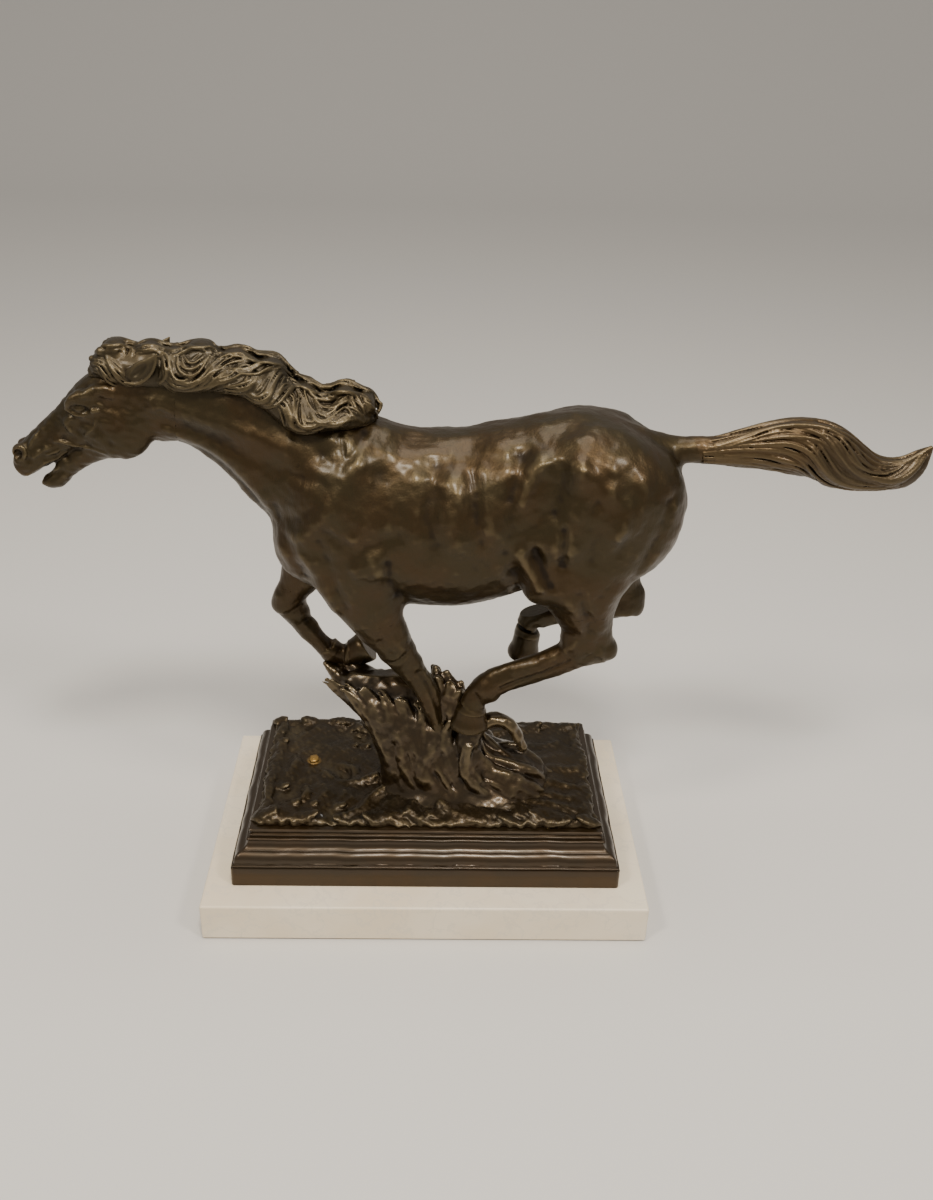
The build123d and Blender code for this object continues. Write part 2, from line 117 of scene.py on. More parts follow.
def smooth_step(x):
    """0 below 0, 1 above 1, and an S between them: 3x^2 - 2x^3."""
    x = np.clip(x, 0.0, 1.0)
    return x * x * (3 - 2 * x)


def press(a, b, soft):
    """The smaller of two distances, rounded off where they differ by less than soft."""
    h = np.clip(0.5 + 0.5 * (b - a) / soft, 0.0, 1.0)
    return b + (a - b) * h - soft * h * (1 - h)


class Clay:
    """A grid of distances to the surface, in mm, between two corners."""

    def __init__(self, low, high, step):
        self.step = step * COARSE
        self.low = np.array(low, float)
        self.count = np.ceil((np.array(high) - self.low) / self.step).astype(int) + 1
        self.d = np.full(self.count, FAR, np.float32)

    def window(self, low, high):
        """The slices of the grid between two corners, and the coordinates there, or None."""
        first = np.maximum(np.floor((np.array(low) - self.low) / self.step).astype(int), 0)
        last = np.minimum(np.ceil((np.array(high) - self.low) / self.step).astype(int) + 1, self.count)
        if np.any(last <= first):
            return None
        place = tuple(slice(a, b) for a, b in zip(first, last))
        lines = [self.low[i] + self.step * np.arange(first[i], last[i]) for i in range(3)]
        return place, np.meshgrid(*[line.astype(np.float32) for line in lines], indexing="ij", sparse=True)

    def add(self, place, distance, soft):
        """Presses a block of distances on at a place of the grid."""
        self.d[place] = press(self.d[place], distance, soft)

    def skin(self, points, triangles, quads, soft):
        """Presses a closed mesh into the clay."""
        reach = max(soft, STROKE_REACH) + 3 * self.step
        band = int(math.ceil(reach / self.step)) + 1
        found = self.window(points.min(0) - reach, points.max(0) + reach)
        if found is None:
            return
        place, _ = found
        grid = openvdb.FloatGrid.createLevelSetFromPolygons(
            ((points - self.low) / self.step).astype(np.float32),
            triangles=triangles.astype(np.uint32),
            quads=quads.astype(np.uint32),
            halfWidth=float(band),
        )
        block = np.empty(self.d[place].shape, np.float32)
        grid.copyToArray(block, ijk=tuple(s.start for s in place))
        self.add(place, block * self.step, soft)

    def loft(self, stations, soft, rings=40, around=40, square=2.0):
        """Presses a tube through oval sections on."""
        self.skin(*lofted(stations, rings, around, square), soft)

    def strand(self, path, radii, soft, flat=1.0, stretches=3):
        """A tapering strand along points.  Its section is squeezed to flat times its radius across the
        horse.  The strand's distance is the least of the distances to its short stretches, and it is
        pressed on once, so that the joins between stretches don't swell."""
        path, radii = resampled(path, radii, stretches)
        margin = radii.max() + soft + self.step
        whole = self.window(path.min(0) - margin, path.max(0) + margin)
        if whole is None:
            return
        nearest = np.full([part.stop - part.start for part in whole[0]], 1e3, np.float32)
        for a, b, ra, rb in zip(path[:-1], path[1:], radii[:-1], radii[1:]):
            found = self.window(np.minimum(a, b) - margin, np.maximum(a, b) + margin)
            if found is None:
                continue
            place, (x, y, z) = found
            along = b - a
            length2 = max(float(along @ along), 1e-6)
            t = ((x - a[0]) * along[0] + (y - a[1]) * along[1] + (z - a[2]) * along[2]) / length2
            t = np.clip(t, 0, 1)
            dx, dy, dz = x - a[0] - t * along[0], y - a[1] - t * along[1], z - a[2] - t * along[2]
            reach = np.sqrt(dx * dx + dy * dy + dz * dz + dy * dy * (1 / flat**2 - 1))
            inner = tuple(slice(p.start - w.start, p.stop - w.start) for p, w in zip(place, whole[0]))
            nearest[inner] = np.minimum(nearest[inner], (reach - ra - (rb - ra) * t) * (0.5 + 0.5 * flat))
        self.add(whole[0], nearest, soft)

    def ball(self, centre, radii, soft, turn=0.0, cut=False):
        """An ellipsoid, turned about the Y axis.  Its distance is k(k - 1)/g, with k the place
        measured in radii and g the length of its slope."""
        centre, radii = np.array(centre, float), np.array(radii, float)
        margin = radii.max() + soft + self.step
        found = self.window(centre - margin, centre + margin)
        if found is None:
            return
        place, (x, y, z) = found
        c, s = math.cos(turn), math.sin(turn)
        u = (x - centre[0]) * c + (z - centre[2]) * s
        w = (z - centre[2]) * c - (x - centre[0]) * s
        v = y - centre[1]
        k = np.sqrt((u / radii[0]) ** 2 + (v / radii[1]) ** 2 + (w / radii[2]) ** 2) + 1e-6
        g = np.sqrt((u / radii[0] ** 2) ** 2 + (v / radii[1] ** 2) ** 2 + (w / radii[2] ** 2) ** 2) + 1e-6
        distance = k * (k - 1) / g
        if cut:
            self.d[place] = -press(-self.d[place], distance, soft)
        else:
            self.add(place, distance, soft)

    def lay(self, x, z, side, lift):
        """How far across the horse the surface, raised by lift, lies at points of the side view: the
        outermost place of each column along Y where the distance is still under lift, else 0."""
        i = np.clip(np.round((x - self.low[0]) / self.step).astype(int), 0, self.count[0] - 1)
        k = np.clip(np.round((z - self.low[2]) / self.step).astype(int), 0, self.count[2] - 1)
        y = self.low[1] + self.step * np.arange(self.count[1])
        found = (self.d[i, :, k] < lift) & (side * y > 0)
        return side * np.where(found, side * y, 0).max(axis=1)

    def outline(self, x):
        """The lowest and highest place of the surface in each slice across the horse."""
        i = np.clip(np.round((x - self.low[0]) / self.step).astype(int), 0, self.count[0] - 1)
        inside = self.d[i].min(axis=1) < 0
        z = self.low[2] + self.step * np.arange(self.count[2])
        found = inside.any(axis=1)
        bottom = np.where(found, np.where(inside, z, 1e3).min(axis=1), -1e3)
        top = np.where(found, np.where(inside, z, -1e3).max(axis=1), 1e3)
        return bottom, top

    def handled(self, size, depth, seed, waves=14):
        """Uneven skin, as hands leave it: a sum of sine waves in chance directions, each about size mm
        long, moves the surface in and out by about depth mm."""
        chance = np.random.default_rng(seed)
        near = np.abs(self.d) < 4 * self.step
        places = (np.argwhere(near) * self.step + self.low).astype(np.float32)
        push = np.zeros(len(places), np.float32)
        for _ in range(waves):
            way = chance.normal(size=3)
            way *= 2 * np.pi / (size * chance.uniform(0.7, 1.6)) / np.linalg.norm(way)
            push += np.sin(places @ way.astype(np.float32) + np.float32(chance.uniform(0, 6.3)))
        self.d[near] += depth * push * math.sqrt(2 / waves)

    def stroke(self, path, width, height, side=0):
        """Raises (or, with a negative height, sinks) the clay along a line on the side view, as a bell
        curve of the distance from it.  side picks the flank at -Y or +Y, and 0 takes both."""
        path = np.array(path, float)
        width, height = np.broadcast_to(width, len(path)), np.broadcast_to(height, len(path))
        fine, both = resampled(path, np.stack([width, height], 1), 4)
        margin = 3 * both[:, 0].max()
        low = (fine[:, 0].min() - margin, -200, fine[:, 1].min() - margin)
        high = (fine[:, 0].max() + margin, 200, fine[:, 1].max() + margin)
        found = self.window(low, high)
        if found is None:
            return
        place, (x, y, z) = found
        push = np.zeros((x.shape[0], 1, z.shape[2]), np.float32)
        for a, b, (wa, ha), (wb, hb) in zip(fine[:-1], fine[1:], both[:-1], both[1:]):
            along = b - a
            t = ((x - a[0]) * along[0] + (z - a[1]) * along[1]) / max(float(along @ along), 1e-6)
            t = np.clip(t, 0, 1)
            r2 = (x - a[0] - t * along[0]) ** 2 + (z - a[1] - t * along[1]) ** 2
            bell = (ha + (hb - ha) * t) * np.exp(-r2 / (wa + (wb - wa) * t) ** 2)
            push = np.where(np.abs(bell) > np.abs(push), bell, push)
        on_side = 1.0 if side == 0 else smooth_step(0.5 + side * y / 8)
        self.d[place] -= push * on_side


# %% [markdown]
# ## Smooth lines and tubes
# A limb is known at a few sections.  A smooth curve is put through them and ovals are carried along it,
# which closes into a tube.  Straight lengths between the sections would leave corners in the flesh.

# %% Curves through points, and tubes along them
def smooth_through(values, knots, places):
    """A cubic Hermite curve through values at knots.  Its slopes are those of a parabola through
    each point and its two neighbours."""
    step = np.diff(knots)[:, None]
    rise = np.diff(values, axis=0) / step
    slope = np.empty_like(values)
    slope[1:-1] = (rise[:-1] * step[1:] + rise[1:] * step[:-1]) / (step[:-1] + step[1:])
    slope[0], slope[-1] = rise[0], rise[-1]
    i = np.clip(np.searchsorted(knots, places, side="right") - 1, 0, len(knots) - 2)
    h = (knots[i + 1] - knots[i])[:, None]
    t = ((places - knots[i]) / h[:, 0])[:, None]
    a, b = values[i], values[i + 1]
    return (
        (2 * t**3 - 3 * t**2 + 1) * a + (t**3 - 2 * t**2 + t) * h * slope[i]
        + (3 * t**2 - 2 * t**3) * b + (t**3 - t**2) * h * slope[i + 1]
    )


def resampled(path, radii, per_stretch):
    """More points on a smooth curve through a path, with a radius (or several values) at each."""
    path, radii = np.array(path, float), np.array(radii, float)
    both = np.column_stack([path, radii])
    knots = np.concatenate([[0], np.cumsum(np.linalg.norm(np.diff(path, axis=0), axis=1) + 1e-6)])
    parts = np.arange((len(path) - 1) * per_stretch + 1) / per_stretch
    out = smooth_through(both, knots, np.interp(parts, np.arange(len(path)), knots))
    width = path.shape[1]
    return out[:, :width], (out[:, width] if radii.ndim == 1 else out[:, width:])


def tube_faces(rings, around):
    """Quads of a grid that closes round, and triangles to two end points that follow it."""
    i, j = np.meshgrid(np.arange(rings - 1), np.arange(around), indexing="ij")
    k = (j + 1) % around
    quads = np.stack([i * around + j, (i + 1) * around + j, (i + 1) * around + k, i * around + k], -1)
    j = np.arange(around)
    k = (j + 1) % around
    start, last = rings * around, (rings - 1) * around
    ends = np.concatenate([
        np.stack([np.full(around, start), j, k], -1),
        np.stack([np.full(around, start + 1), last + k, last + j], -1),
    ])
    return ends, quads.reshape(-1, 4)


def lofted(stations, rings, around, square=2.0):
    """A closed tube through oval sections.  A station is a pair of points of the side view, the
    section's offset across the horse and its half-width.  square above 2 makes the ovals boxier."""
    rows = np.array([[*a, *b, across, wide] for a, b, across, wide in stations], float)
    centres = np.stack([(rows[:, 0] + rows[:, 2]) / 2, rows[:, 4], (rows[:, 1] + rows[:, 3]) / 2], 1)
    knots = np.concatenate([[0], np.cumsum(np.linalg.norm(np.diff(centres, axis=0), axis=1) + 1e-6)])
    rows = smooth_through(rows, knots, np.linspace(0, knots[-1], rings))
    centre = np.stack([(rows[:, 0] + rows[:, 2]) / 2, rows[:, 4], (rows[:, 1] + rows[:, 3]) / 2], 1)
    deep = np.stack([(rows[:, 0] - rows[:, 2]) / 2, 0 * rows[:, 0], (rows[:, 1] - rows[:, 3]) / 2], 1)
    wide = rows[:, 5:6] * np.array([[0.0, 1.0, 0.0]])
    turn = np.linspace(0, 2 * np.pi, around, endpoint=False)
    c, s = np.cos(turn), np.sin(turn)
    power = 2 / square
    c, s = np.sign(c) * np.abs(c) ** power, np.sign(s) * np.abs(s) ** power
    points = centre[:, None] + c[None, :, None] * deep[:, None] + s[None, :, None] * wide[:, None]
    points = np.concatenate([points.reshape(-1, 3), centre[:1], centre[-1:]])
    ends, quads = tube_faces(rings, around)
    return points, ends, quads


# %% [markdown]
# ## Drawing the skin off
# The finished clay is drawn off as a mesh, and only its largest connected part is kept, so that no crumb
# is left over.  How proud or sunk each point lies is measured on the same grid, for the patina, the painted
# shade in the hollows and the painted highlight on the ridges to follow.

# %% From clay to a casting
def sampled(field, places):
    """A grid's values between its points: a blend of the eight nearest."""
    top = np.array(field.shape) - 1.001
    places = np.clip(places, 0, top)
    i = places.astype(int)
    f = (places - i).astype(np.float32)
    total = np.zeros(len(places), np.float32)
    for corner in np.ndindex(2, 2, 2):
        weight = np.prod(np.where(np.array(corner) == 1, f, 1 - f), axis=1)
        total += weight * field[tuple((i + corner).T)]
    return total


def blurred(field, cells):
    """Each value becomes the mean of a box round it, along each axis in turn."""
    out = field
    for axis in range(3):
        before = np.repeat(out.take([0], axis), cells + 1, axis)
        after = np.repeat(out.take([-1], axis), cells, axis)
        padded = np.concatenate([before, out, after], axis)
        sums = np.cumsum(padded, axis, dtype=np.float64)
        n = out.shape[axis]
        high = sums.take(np.arange(2 * cells + 1, 2 * cells + 1 + n), axis)
        low = sums.take(np.arange(0, n), axis)
        out = ((high - low) / (2 * cells + 1)).astype(np.float32)
    return out


def drawn_off(clay):
    """The surface where the clay's distance is zero: its points in mm and its quads."""
    grid = openvdb.FloatGrid(FAR)
    grid.copyFromArray(clay.d)
    points, quads = grid.convertToQuads(isovalue=0.0)[:2]
    return points, quads


def relief(clay, points, reach):
    """How proud (positive) or sunk (negative) the surface is, in mm, against its surroundings."""
    cells = max(1, round(reach / clay.step))
    return sampled(blurred(np.clip(clay.d, -FAR, FAR), cells), points)


def new_object(name, points_mm, faces, attributes=None):
    """A mesh object from points in mm above the plinth's underside."""
    mesh = bpy.data.meshes.new(name)
    scaled = (points_mm + [0, 0, FELT_MM]) * MM
    mesh.from_pydata(scaled.tolist(), [], faces.tolist())
    for key, values in (attributes or {}).items():
        layer = mesh.attributes.new(key, "FLOAT", "POINT")
        layer.data.foreach_set("value", np.asarray(values, np.float32))
    mesh.shade_smooth()
    piece = bpy.data.objects.new(name, mesh)
    bpy.context.collection.objects.link(piece)
    return piece


def main_island(points, faces):
    """The largest connected part.  Each point takes the lowest number among its face's points, and
    that number's own number, until nothing changes."""
    label = np.arange(len(points))
    while True:
        before = label.copy()
        lowest = label[faces].min(axis=1)
        np.minimum.at(label, faces.ravel(), np.repeat(lowest, faces.shape[1]))
        label = label[label]
        if np.array_equal(label, before):
            break
    keep = label == np.bincount(label).argmax()
    number = np.cumsum(keep) - 1
    return points[keep], number[faces[keep[faces[:, 0]]]]


def casting(name, clay, fine_reach=2.0, broad_reach=5.0):
    """The clay's skin as a mesh object that carries how proud each point is, near by and further off."""
    points, quads = main_island(*drawn_off(clay))
    proud = relief(clay, points, fine_reach)
    broad = relief(clay, points, broad_reach)
    points = points * clay.step + clay.low
    piece = new_object(name, points, quads, {"proud": proud, "broad": broad})
    print(name, len(quads), "quads", "proud", np.round(np.percentile(proud, [2, 50, 98]), 2))
    return piece

# %% [markdown]
# ## Writing a shader as arithmetic
# A material in Blender is a web of nodes.  Wiring each sum by hand hides what it says, so one small
# class stands for a socket and turns + - * / into Math nodes.  Every other node comes from one helper.

# %% The shader helper
class Sock:
    """A node's output.  Arithmetic on it adds Math nodes to its tree."""

    def __init__(self, tree, socket):
        self.tree, self.socket = tree, socket

    def math(self, operation, *values):
        """A Math node on some values, which are sockets or numbers."""
        return add_node(self.tree, "ShaderNodeMath", {"operation": operation}, dict(enumerate(values)))

    def __add__(self, other):
        return self.math("ADD", self, other)

    def __sub__(self, other):
        return self.math("SUBTRACT", self, other)

    def __mul__(self, other):
        return self.math("MULTIPLY", self, other)

    def __truediv__(self, other):
        return self.math("DIVIDE", self, other)

    def __rsub__(self, other):
        return self.math("SUBTRACT", other, self)

    def __neg__(self):
        return self.math("MULTIPLY", self, -1.0)

    __radd__, __rmul__ = __add__, __mul__

    def between(self, low, high):
        """0 below low, 1 above high, and an S between them."""
        values = {0: self, 1: low, 2: high, 3: 0.0, 4: 1.0}
        return add_node(self.tree, "ShaderNodeMapRange", {"interpolation_type": "SMOOTHSTEP"}, values)


def add_node(tree, kind, settings=None, values=None, out=0):
    """A node with its settings first, then the values or links of its inputs."""
    node = tree.nodes.new(kind)
    for key, value in (settings or {}).items():
        setattr(node, key, value)
    for key, value in (values or {}).items():
        if isinstance(value, Sock):
            tree.links.new(value.socket, node.inputs[key])
        else:
            node.inputs[key].default_value = value
    return Sock(tree, node.outputs[out])


class Finish:
    """A material with a Principled shader, and the nodes that most finishes need."""

    def __init__(self, name, **constants):
        self.material = bpy.data.materials.new(name)
        self.material.use_nodes = True
        self.tree = self.material.node_tree
        self.shader = self.tree.nodes["Principled BSDF"]
        for key, value in constants.items():
            self.shader.inputs[key.replace("_", " ")].default_value = value
        self.place = add_node(self.tree, "ShaderNodeTexCoord", out=3)

    def noise(self, size_mm, detail=3.0, roughness=0.55, stretch=(1, 1, 1), turn=(0, 0, 0)):
        """Soft noise whose lumps are about size_mm across."""
        scale = tuple(1000.0 / size_mm / s for s in stretch)
        where = add_node(self.tree, "ShaderNodeMapping", None, {0: self.place, 2: turn, 3: scale})
        values = {"Vector": where, "Scale": 1.0, "Detail": detail, "Roughness": roughness}
        return add_node(self.tree, "ShaderNodeTexNoise", None, values)

    def attribute(self, name):
        """A value that the mesh carries at each point."""
        return add_node(self.tree, "ShaderNodeAttribute", {"attribute_name": name}, None, out=2)

    def mix(self, a, b, factor):
        """Colour a where factor is 0, and b where it is 1."""
        a, b = ((*c, 1) if isinstance(c, tuple) else c for c in (a, b))
        settings = {"data_type": "RGBA", "clamp_factor": True}
        return add_node(self.tree, "ShaderNodeMix", settings, {0: factor, 6: a, 7: b}, out=2)

    def bump(self, height, depth_mm):
        """Fine relief that is only shaded: a height of 0 to 1 stands for depth_mm."""
        values = {"Strength": 1.0, "Distance": depth_mm * MM, "Height": height}
        self.feed("Normal", add_node(self.tree, "ShaderNodeBump", None, values))

    def feed(self, name, sock):
        """Links a value to one of the shader's inputs."""
        self.tree.links.new(sock.socket, self.shader.inputs[name])


# %% [markdown]
# ## Patinated bronze
# Bronze is browned with heat and salts, waxed, and then rubbed.  The brown is darkest and warmest in the
# hollows, partly as the patina that stays where the rag can't reach and partly as painted shade that
# deepens them, and the proud edges are paler, partly rubbed towards bare metal and partly a painted
# highlight.  Two attributes that the castings carry say how proud or sunk the skin is, so the painted
# darkening and paling follow the form from any side.  A thin clear coat stands for the wax.

# %% The bronze finish
# The hollows' dark brown: partly the patina that lies there, partly painted shade.
HOLLOW_PATINA_AND_SHADE_BROWN = (0.011, 0.0065, 0.003)
# The proud edges' pale gold: partly metal rubbed bare, partly a painted highlight.
RUBBED_AND_HIGHLIGHT_GOLD = (0.30, 0.23, 0.12)
YELLOW_METAL = (0.34, 0.20, 0.05)


def bronze_finish(name, skin_brown, olive_brown, wear_and_highlight, roughness, chased, coat):
    """Brown by clouds of two browns, darker by how sunk the skin is (hollow patina and painted shade),
    paler by how proud it is times the wear (rubbed metal and painted highlight).  Chasing marks chased mm
    deep roughen it, and coat is how much wax lies on it."""
    finish = Finish(name, Metallic=0.80, IOR=1.5, Coat_Roughness=0.24)
    proud, broad = finish.attribute("proud"), finish.attribute("broad")
    cloud = finish.noise(38, 4)
    fleck = finish.noise(5, 5, 0.65)
    skin = finish.mix(skin_brown, olive_brown, cloud.between(0.38, 0.62))
    # Hollows are painted darker: partly their patina, partly painted shade that deepens the gaps.
    patina_and_shade = (proud * -1.0 - broad * 0.25 + (fleck - 0.5) * 0.10).between(0.08, 0.80)
    # Proud edges are painted paler: partly rubbed wear, partly a painted highlight.
    rubbed_and_highlight = (proud + broad * 0.12 + (fleck - 0.5) * 0.20).between(0.10, 0.62) * wear_and_highlight
    colour = finish.mix(skin, HOLLOW_PATINA_AND_SHADE_BROWN, patina_and_shade * 0.85)
    colour = finish.mix(colour, RUBBED_AND_HIGHLIGHT_GOLD, rubbed_and_highlight * 0.45)
    colour = finish.mix(colour, YELLOW_METAL, finish.attribute("worn_spot"))
    finish.feed("Base Color", colour)
    finish.feed("Roughness", roughness + cloud * 0.12 + patina_and_shade * 0.15 - rubbed_and_highlight * 0.06)
    finish.feed("Coat Weight", coat - patina_and_shade * 0.5 * coat)
    marks = finish.noise(2.2, 2, 0.6, stretch=(1, 1, 3.5), turn=(0, 0.5, 0))
    pits = finish.noise(1.1, 2, 0.5)
    finish.bump(marks * 0.7 + pits * 0.3, chased)
    return finish.material


# Each bronze: two browns, wear with its painted highlight, roughness, depth of the chasing marks in mm, and
# wax.
BRONZES = {
    "patinated bronze": ((0.040, 0.0222, 0.0056), (0.034, 0.0228, 0.0068), 0.40, 0.36, 0.38, 0.24),
    "hair bronze": ((0.044, 0.030, 0.0120), (0.036, 0.0265, 0.0125), 0.40, 0.38, 0.20, 0.18),
    "tail bronze": ((0.062, 0.037, 0.0140), (0.047, 0.031, 0.0140), 0.35, 0.36, 0.20, 0.18),
    "bark bronze": ((0.040, 0.0222, 0.0058), (0.030, 0.0180, 0.0056), 0.50, 0.26, 0.25, 0.45),
    "earth bronze": ((0.036, 0.0220, 0.0076), (0.029, 0.0190, 0.0076), 0.30, 0.36, 0.40, 0.22),
    "base bronze": ((0.040, 0.0212, 0.0054), (0.034, 0.0198, 0.0062), 0.25, 0.30, 0.05, 0.60),
}
bronze, hair_bronze, tail_bronze, bark_bronze, earth_bronze, base_bronze = (
    bronze_finish(name, *values) for name, values in BRONZES.items()
)
print("bronze finish has", len(bronze.node_tree.nodes), "nodes")

# %% [markdown]
# ## The horse's masses
# The body is a barrel that swells at the chest and the croup, the neck a wedge that leaves it low and
# ends at the poll, and each leg a chain of tapering sections down to the hoof.  A station names the two
# points where a section meets the side view, how far it lies across the horse, and its half-width.
# The off side is at +Y.  The same masses are pressed into every block, so the castings meet at their seams.

# %% Barrel and neck
BARREL = [
    ((-107, 284), (-106, 268), 0, 8),
    ((-101, 304), (-100, 255), 0, 23),
    ((-89, 330), (-87, 245), 0, 35),
    ((-70, 355), (-70, 239), 0, 44),
    ((-45, 366), (-45, 235), 0, 47),
    ((-15, 360), (-15, 231.5), 0, 50),
    ((15, 360), (15, 230.5), 0, 51.5),
    ((45, 365), (45, 236), 0, 50),
    ((75, 372), (75, 248), 0, 48),
    ((105, 375), (105, 254), 0, 50),
    ((130, 369), (130, 256), 0, 49),
    ((149, 358), (149, 264), 0, 41),
    ((162, 347), (162, 277), 0, 31),
    ((171, 334), (171, 290), 0, 18),
    ((174, 322), (174, 303), 0, 8),
]
NECK = [
    ((-30, 344), (-62, 274), 0, 26),
    ((-58, 374), (-94, 266), 0, 36),
    ((-76, 380), (-110, 291), 0, 32),
    ((-95, 388), (-123, 306), 0, 27),
    ((-118, 400), (-140, 326), 0, 22),
    ((-143, 407), (-156, 341), 0, 18),
    ((-164, 409), (-170, 348), 0, 16),
    ((-188, 407), (-186, 349), 0, 15),
    ((-204, 398), (-198, 356), 0, 12),
]
DOCK = [
    ((140, 362), (152, 330), 0, 14),
    ((152, 361), (160, 335), 0, 11),
    ((163, 359), (170, 340), 0, 9),
    ((177, 358.5), (183, 340), 0, 8),
    ((195, 359), (199, 340), 0, 8),
    ((210, 361), (214, 340), 0, 8.5),
    ((226, 366), (228, 342), 0, 9),
]

# %% [markdown]
# ## The legs as chains of sections
# The near foreleg and near hind leg reach down to the stump, and the off legs are folded in mid stride.
# A leg bends sharply at the hock and the pastern, so a second chain starts there and is pressed on.

# %% Legs
NEAR_FORE = [
    ((-87, 280), (-24, 272), -27, 18),
    ((-77, 252), (-22, 248), -30, 17),
    ((-61, 228), (-19, 231), -30, 13.5),
    ((-49, 212), (-15, 219), -28.5, 11.5),
    ((-38, 201), (-11, 207), -27, 10.5),
    ((-32, 193), (-9, 200), -26, 9.8),
    ((-25, 183), (-6, 191), -24.5, 7.8),
    ((-17, 172), (0, 181), -23, 7.2),
    ((-8, 158), (7, 165), -21.5, 7.5),
    ((-3, 144), (10, 148), -20.5, 7.8),
    ((1, 132), (13, 135), -19.5, 7.6),
    ((3, 118), (13, 120), -18.5, 6.5),
]
OFF_FORE = [
    ((-104, 272), (-60, 262), 22, 17),
    ((-109, 250), (-77, 243), 25, 14.5),
    ((-113, 232), (-84, 226), 26, 13),
    ((-119, 216), (-94, 214), 26.5, 11.5),
    ((-119, 208), (-95, 207), 27, 10.8),
    ((-111, 197), (-93, 202), 27, 9),
    ((-100, 184), (-85, 191), 27, 7.6),
    ((-89, 171), (-76, 180), 26.5, 7.6),
    ((-81, 161), (-70, 175), 26.5, 8.8),
]
OFF_FORE_PASTERN = [
    ((-84, 168), (-72, 178), 26.5, 8.6),
    ((-76, 158), (-70, 175), 26.5, 8.6),
    ((-69, 156), (-66, 174), 26, 7.6),
    ((-62, 157), (-62, 175), 26, 8),
]
NEAR_HIND = [
    ((64, 290), (156, 300), -24, 24),
    ((68, 272), (152, 284), -29, 23),
    ((74, 256), (138, 262), -31, 20),
    ((84, 240), (130, 242), -31, 15.5),
    ((91, 228), (129, 227), -30, 12.3),
    ((94, 221), (132, 214), -29, 10.6),
    ((94, 217), (133, 203), -28.5, 9.8),
]
NEAR_HIND_CANNON = [
    ((118, 219), (126, 197), -28.5, 8.6),
    ((100, 213), (112, 192), -28, 8.2),
    ((80, 203), (92, 182.5), -27.5, 7.2),
    ((63, 195), (75, 175.5), -27, 7.2),
    ((48, 188), (59, 168.5), -26, 7.8),
    ((37, 180), (49, 163), -25.5, 9.2),
    ((28, 169), (44, 157), -25, 8.6),
    ((23, 158), (40, 151), -24.7, 8.8),
]
OFF_HIND = [
    ((82, 286), (166, 290), 24, 24),
    ((92, 250), (160, 258), 30, 20),
    ((102, 229), (158, 241), 31, 16),
    ((119, 219), (159, 231), 31, 12),
    ((129, 216), (163, 219), 30, 10.3),
    ((131, 212), (160, 206), 29.5, 9.6),
]
OFF_HIND_CANNON = [
    ((152, 219), (148, 203), 30, 8.5),
    ((130, 215), (132, 199), 29, 8.3),
    ((106, 213), (110, 197), 28, 7.2),
    ((91, 214), (94, 195), 27.2, 7.6),
    ((79, 214), (87, 193), 26.6, 8.8),
    ((70, 207), (83, 194), 26, 8.2),
    ((67, 198), (81, 190), 26, 7.8),
]


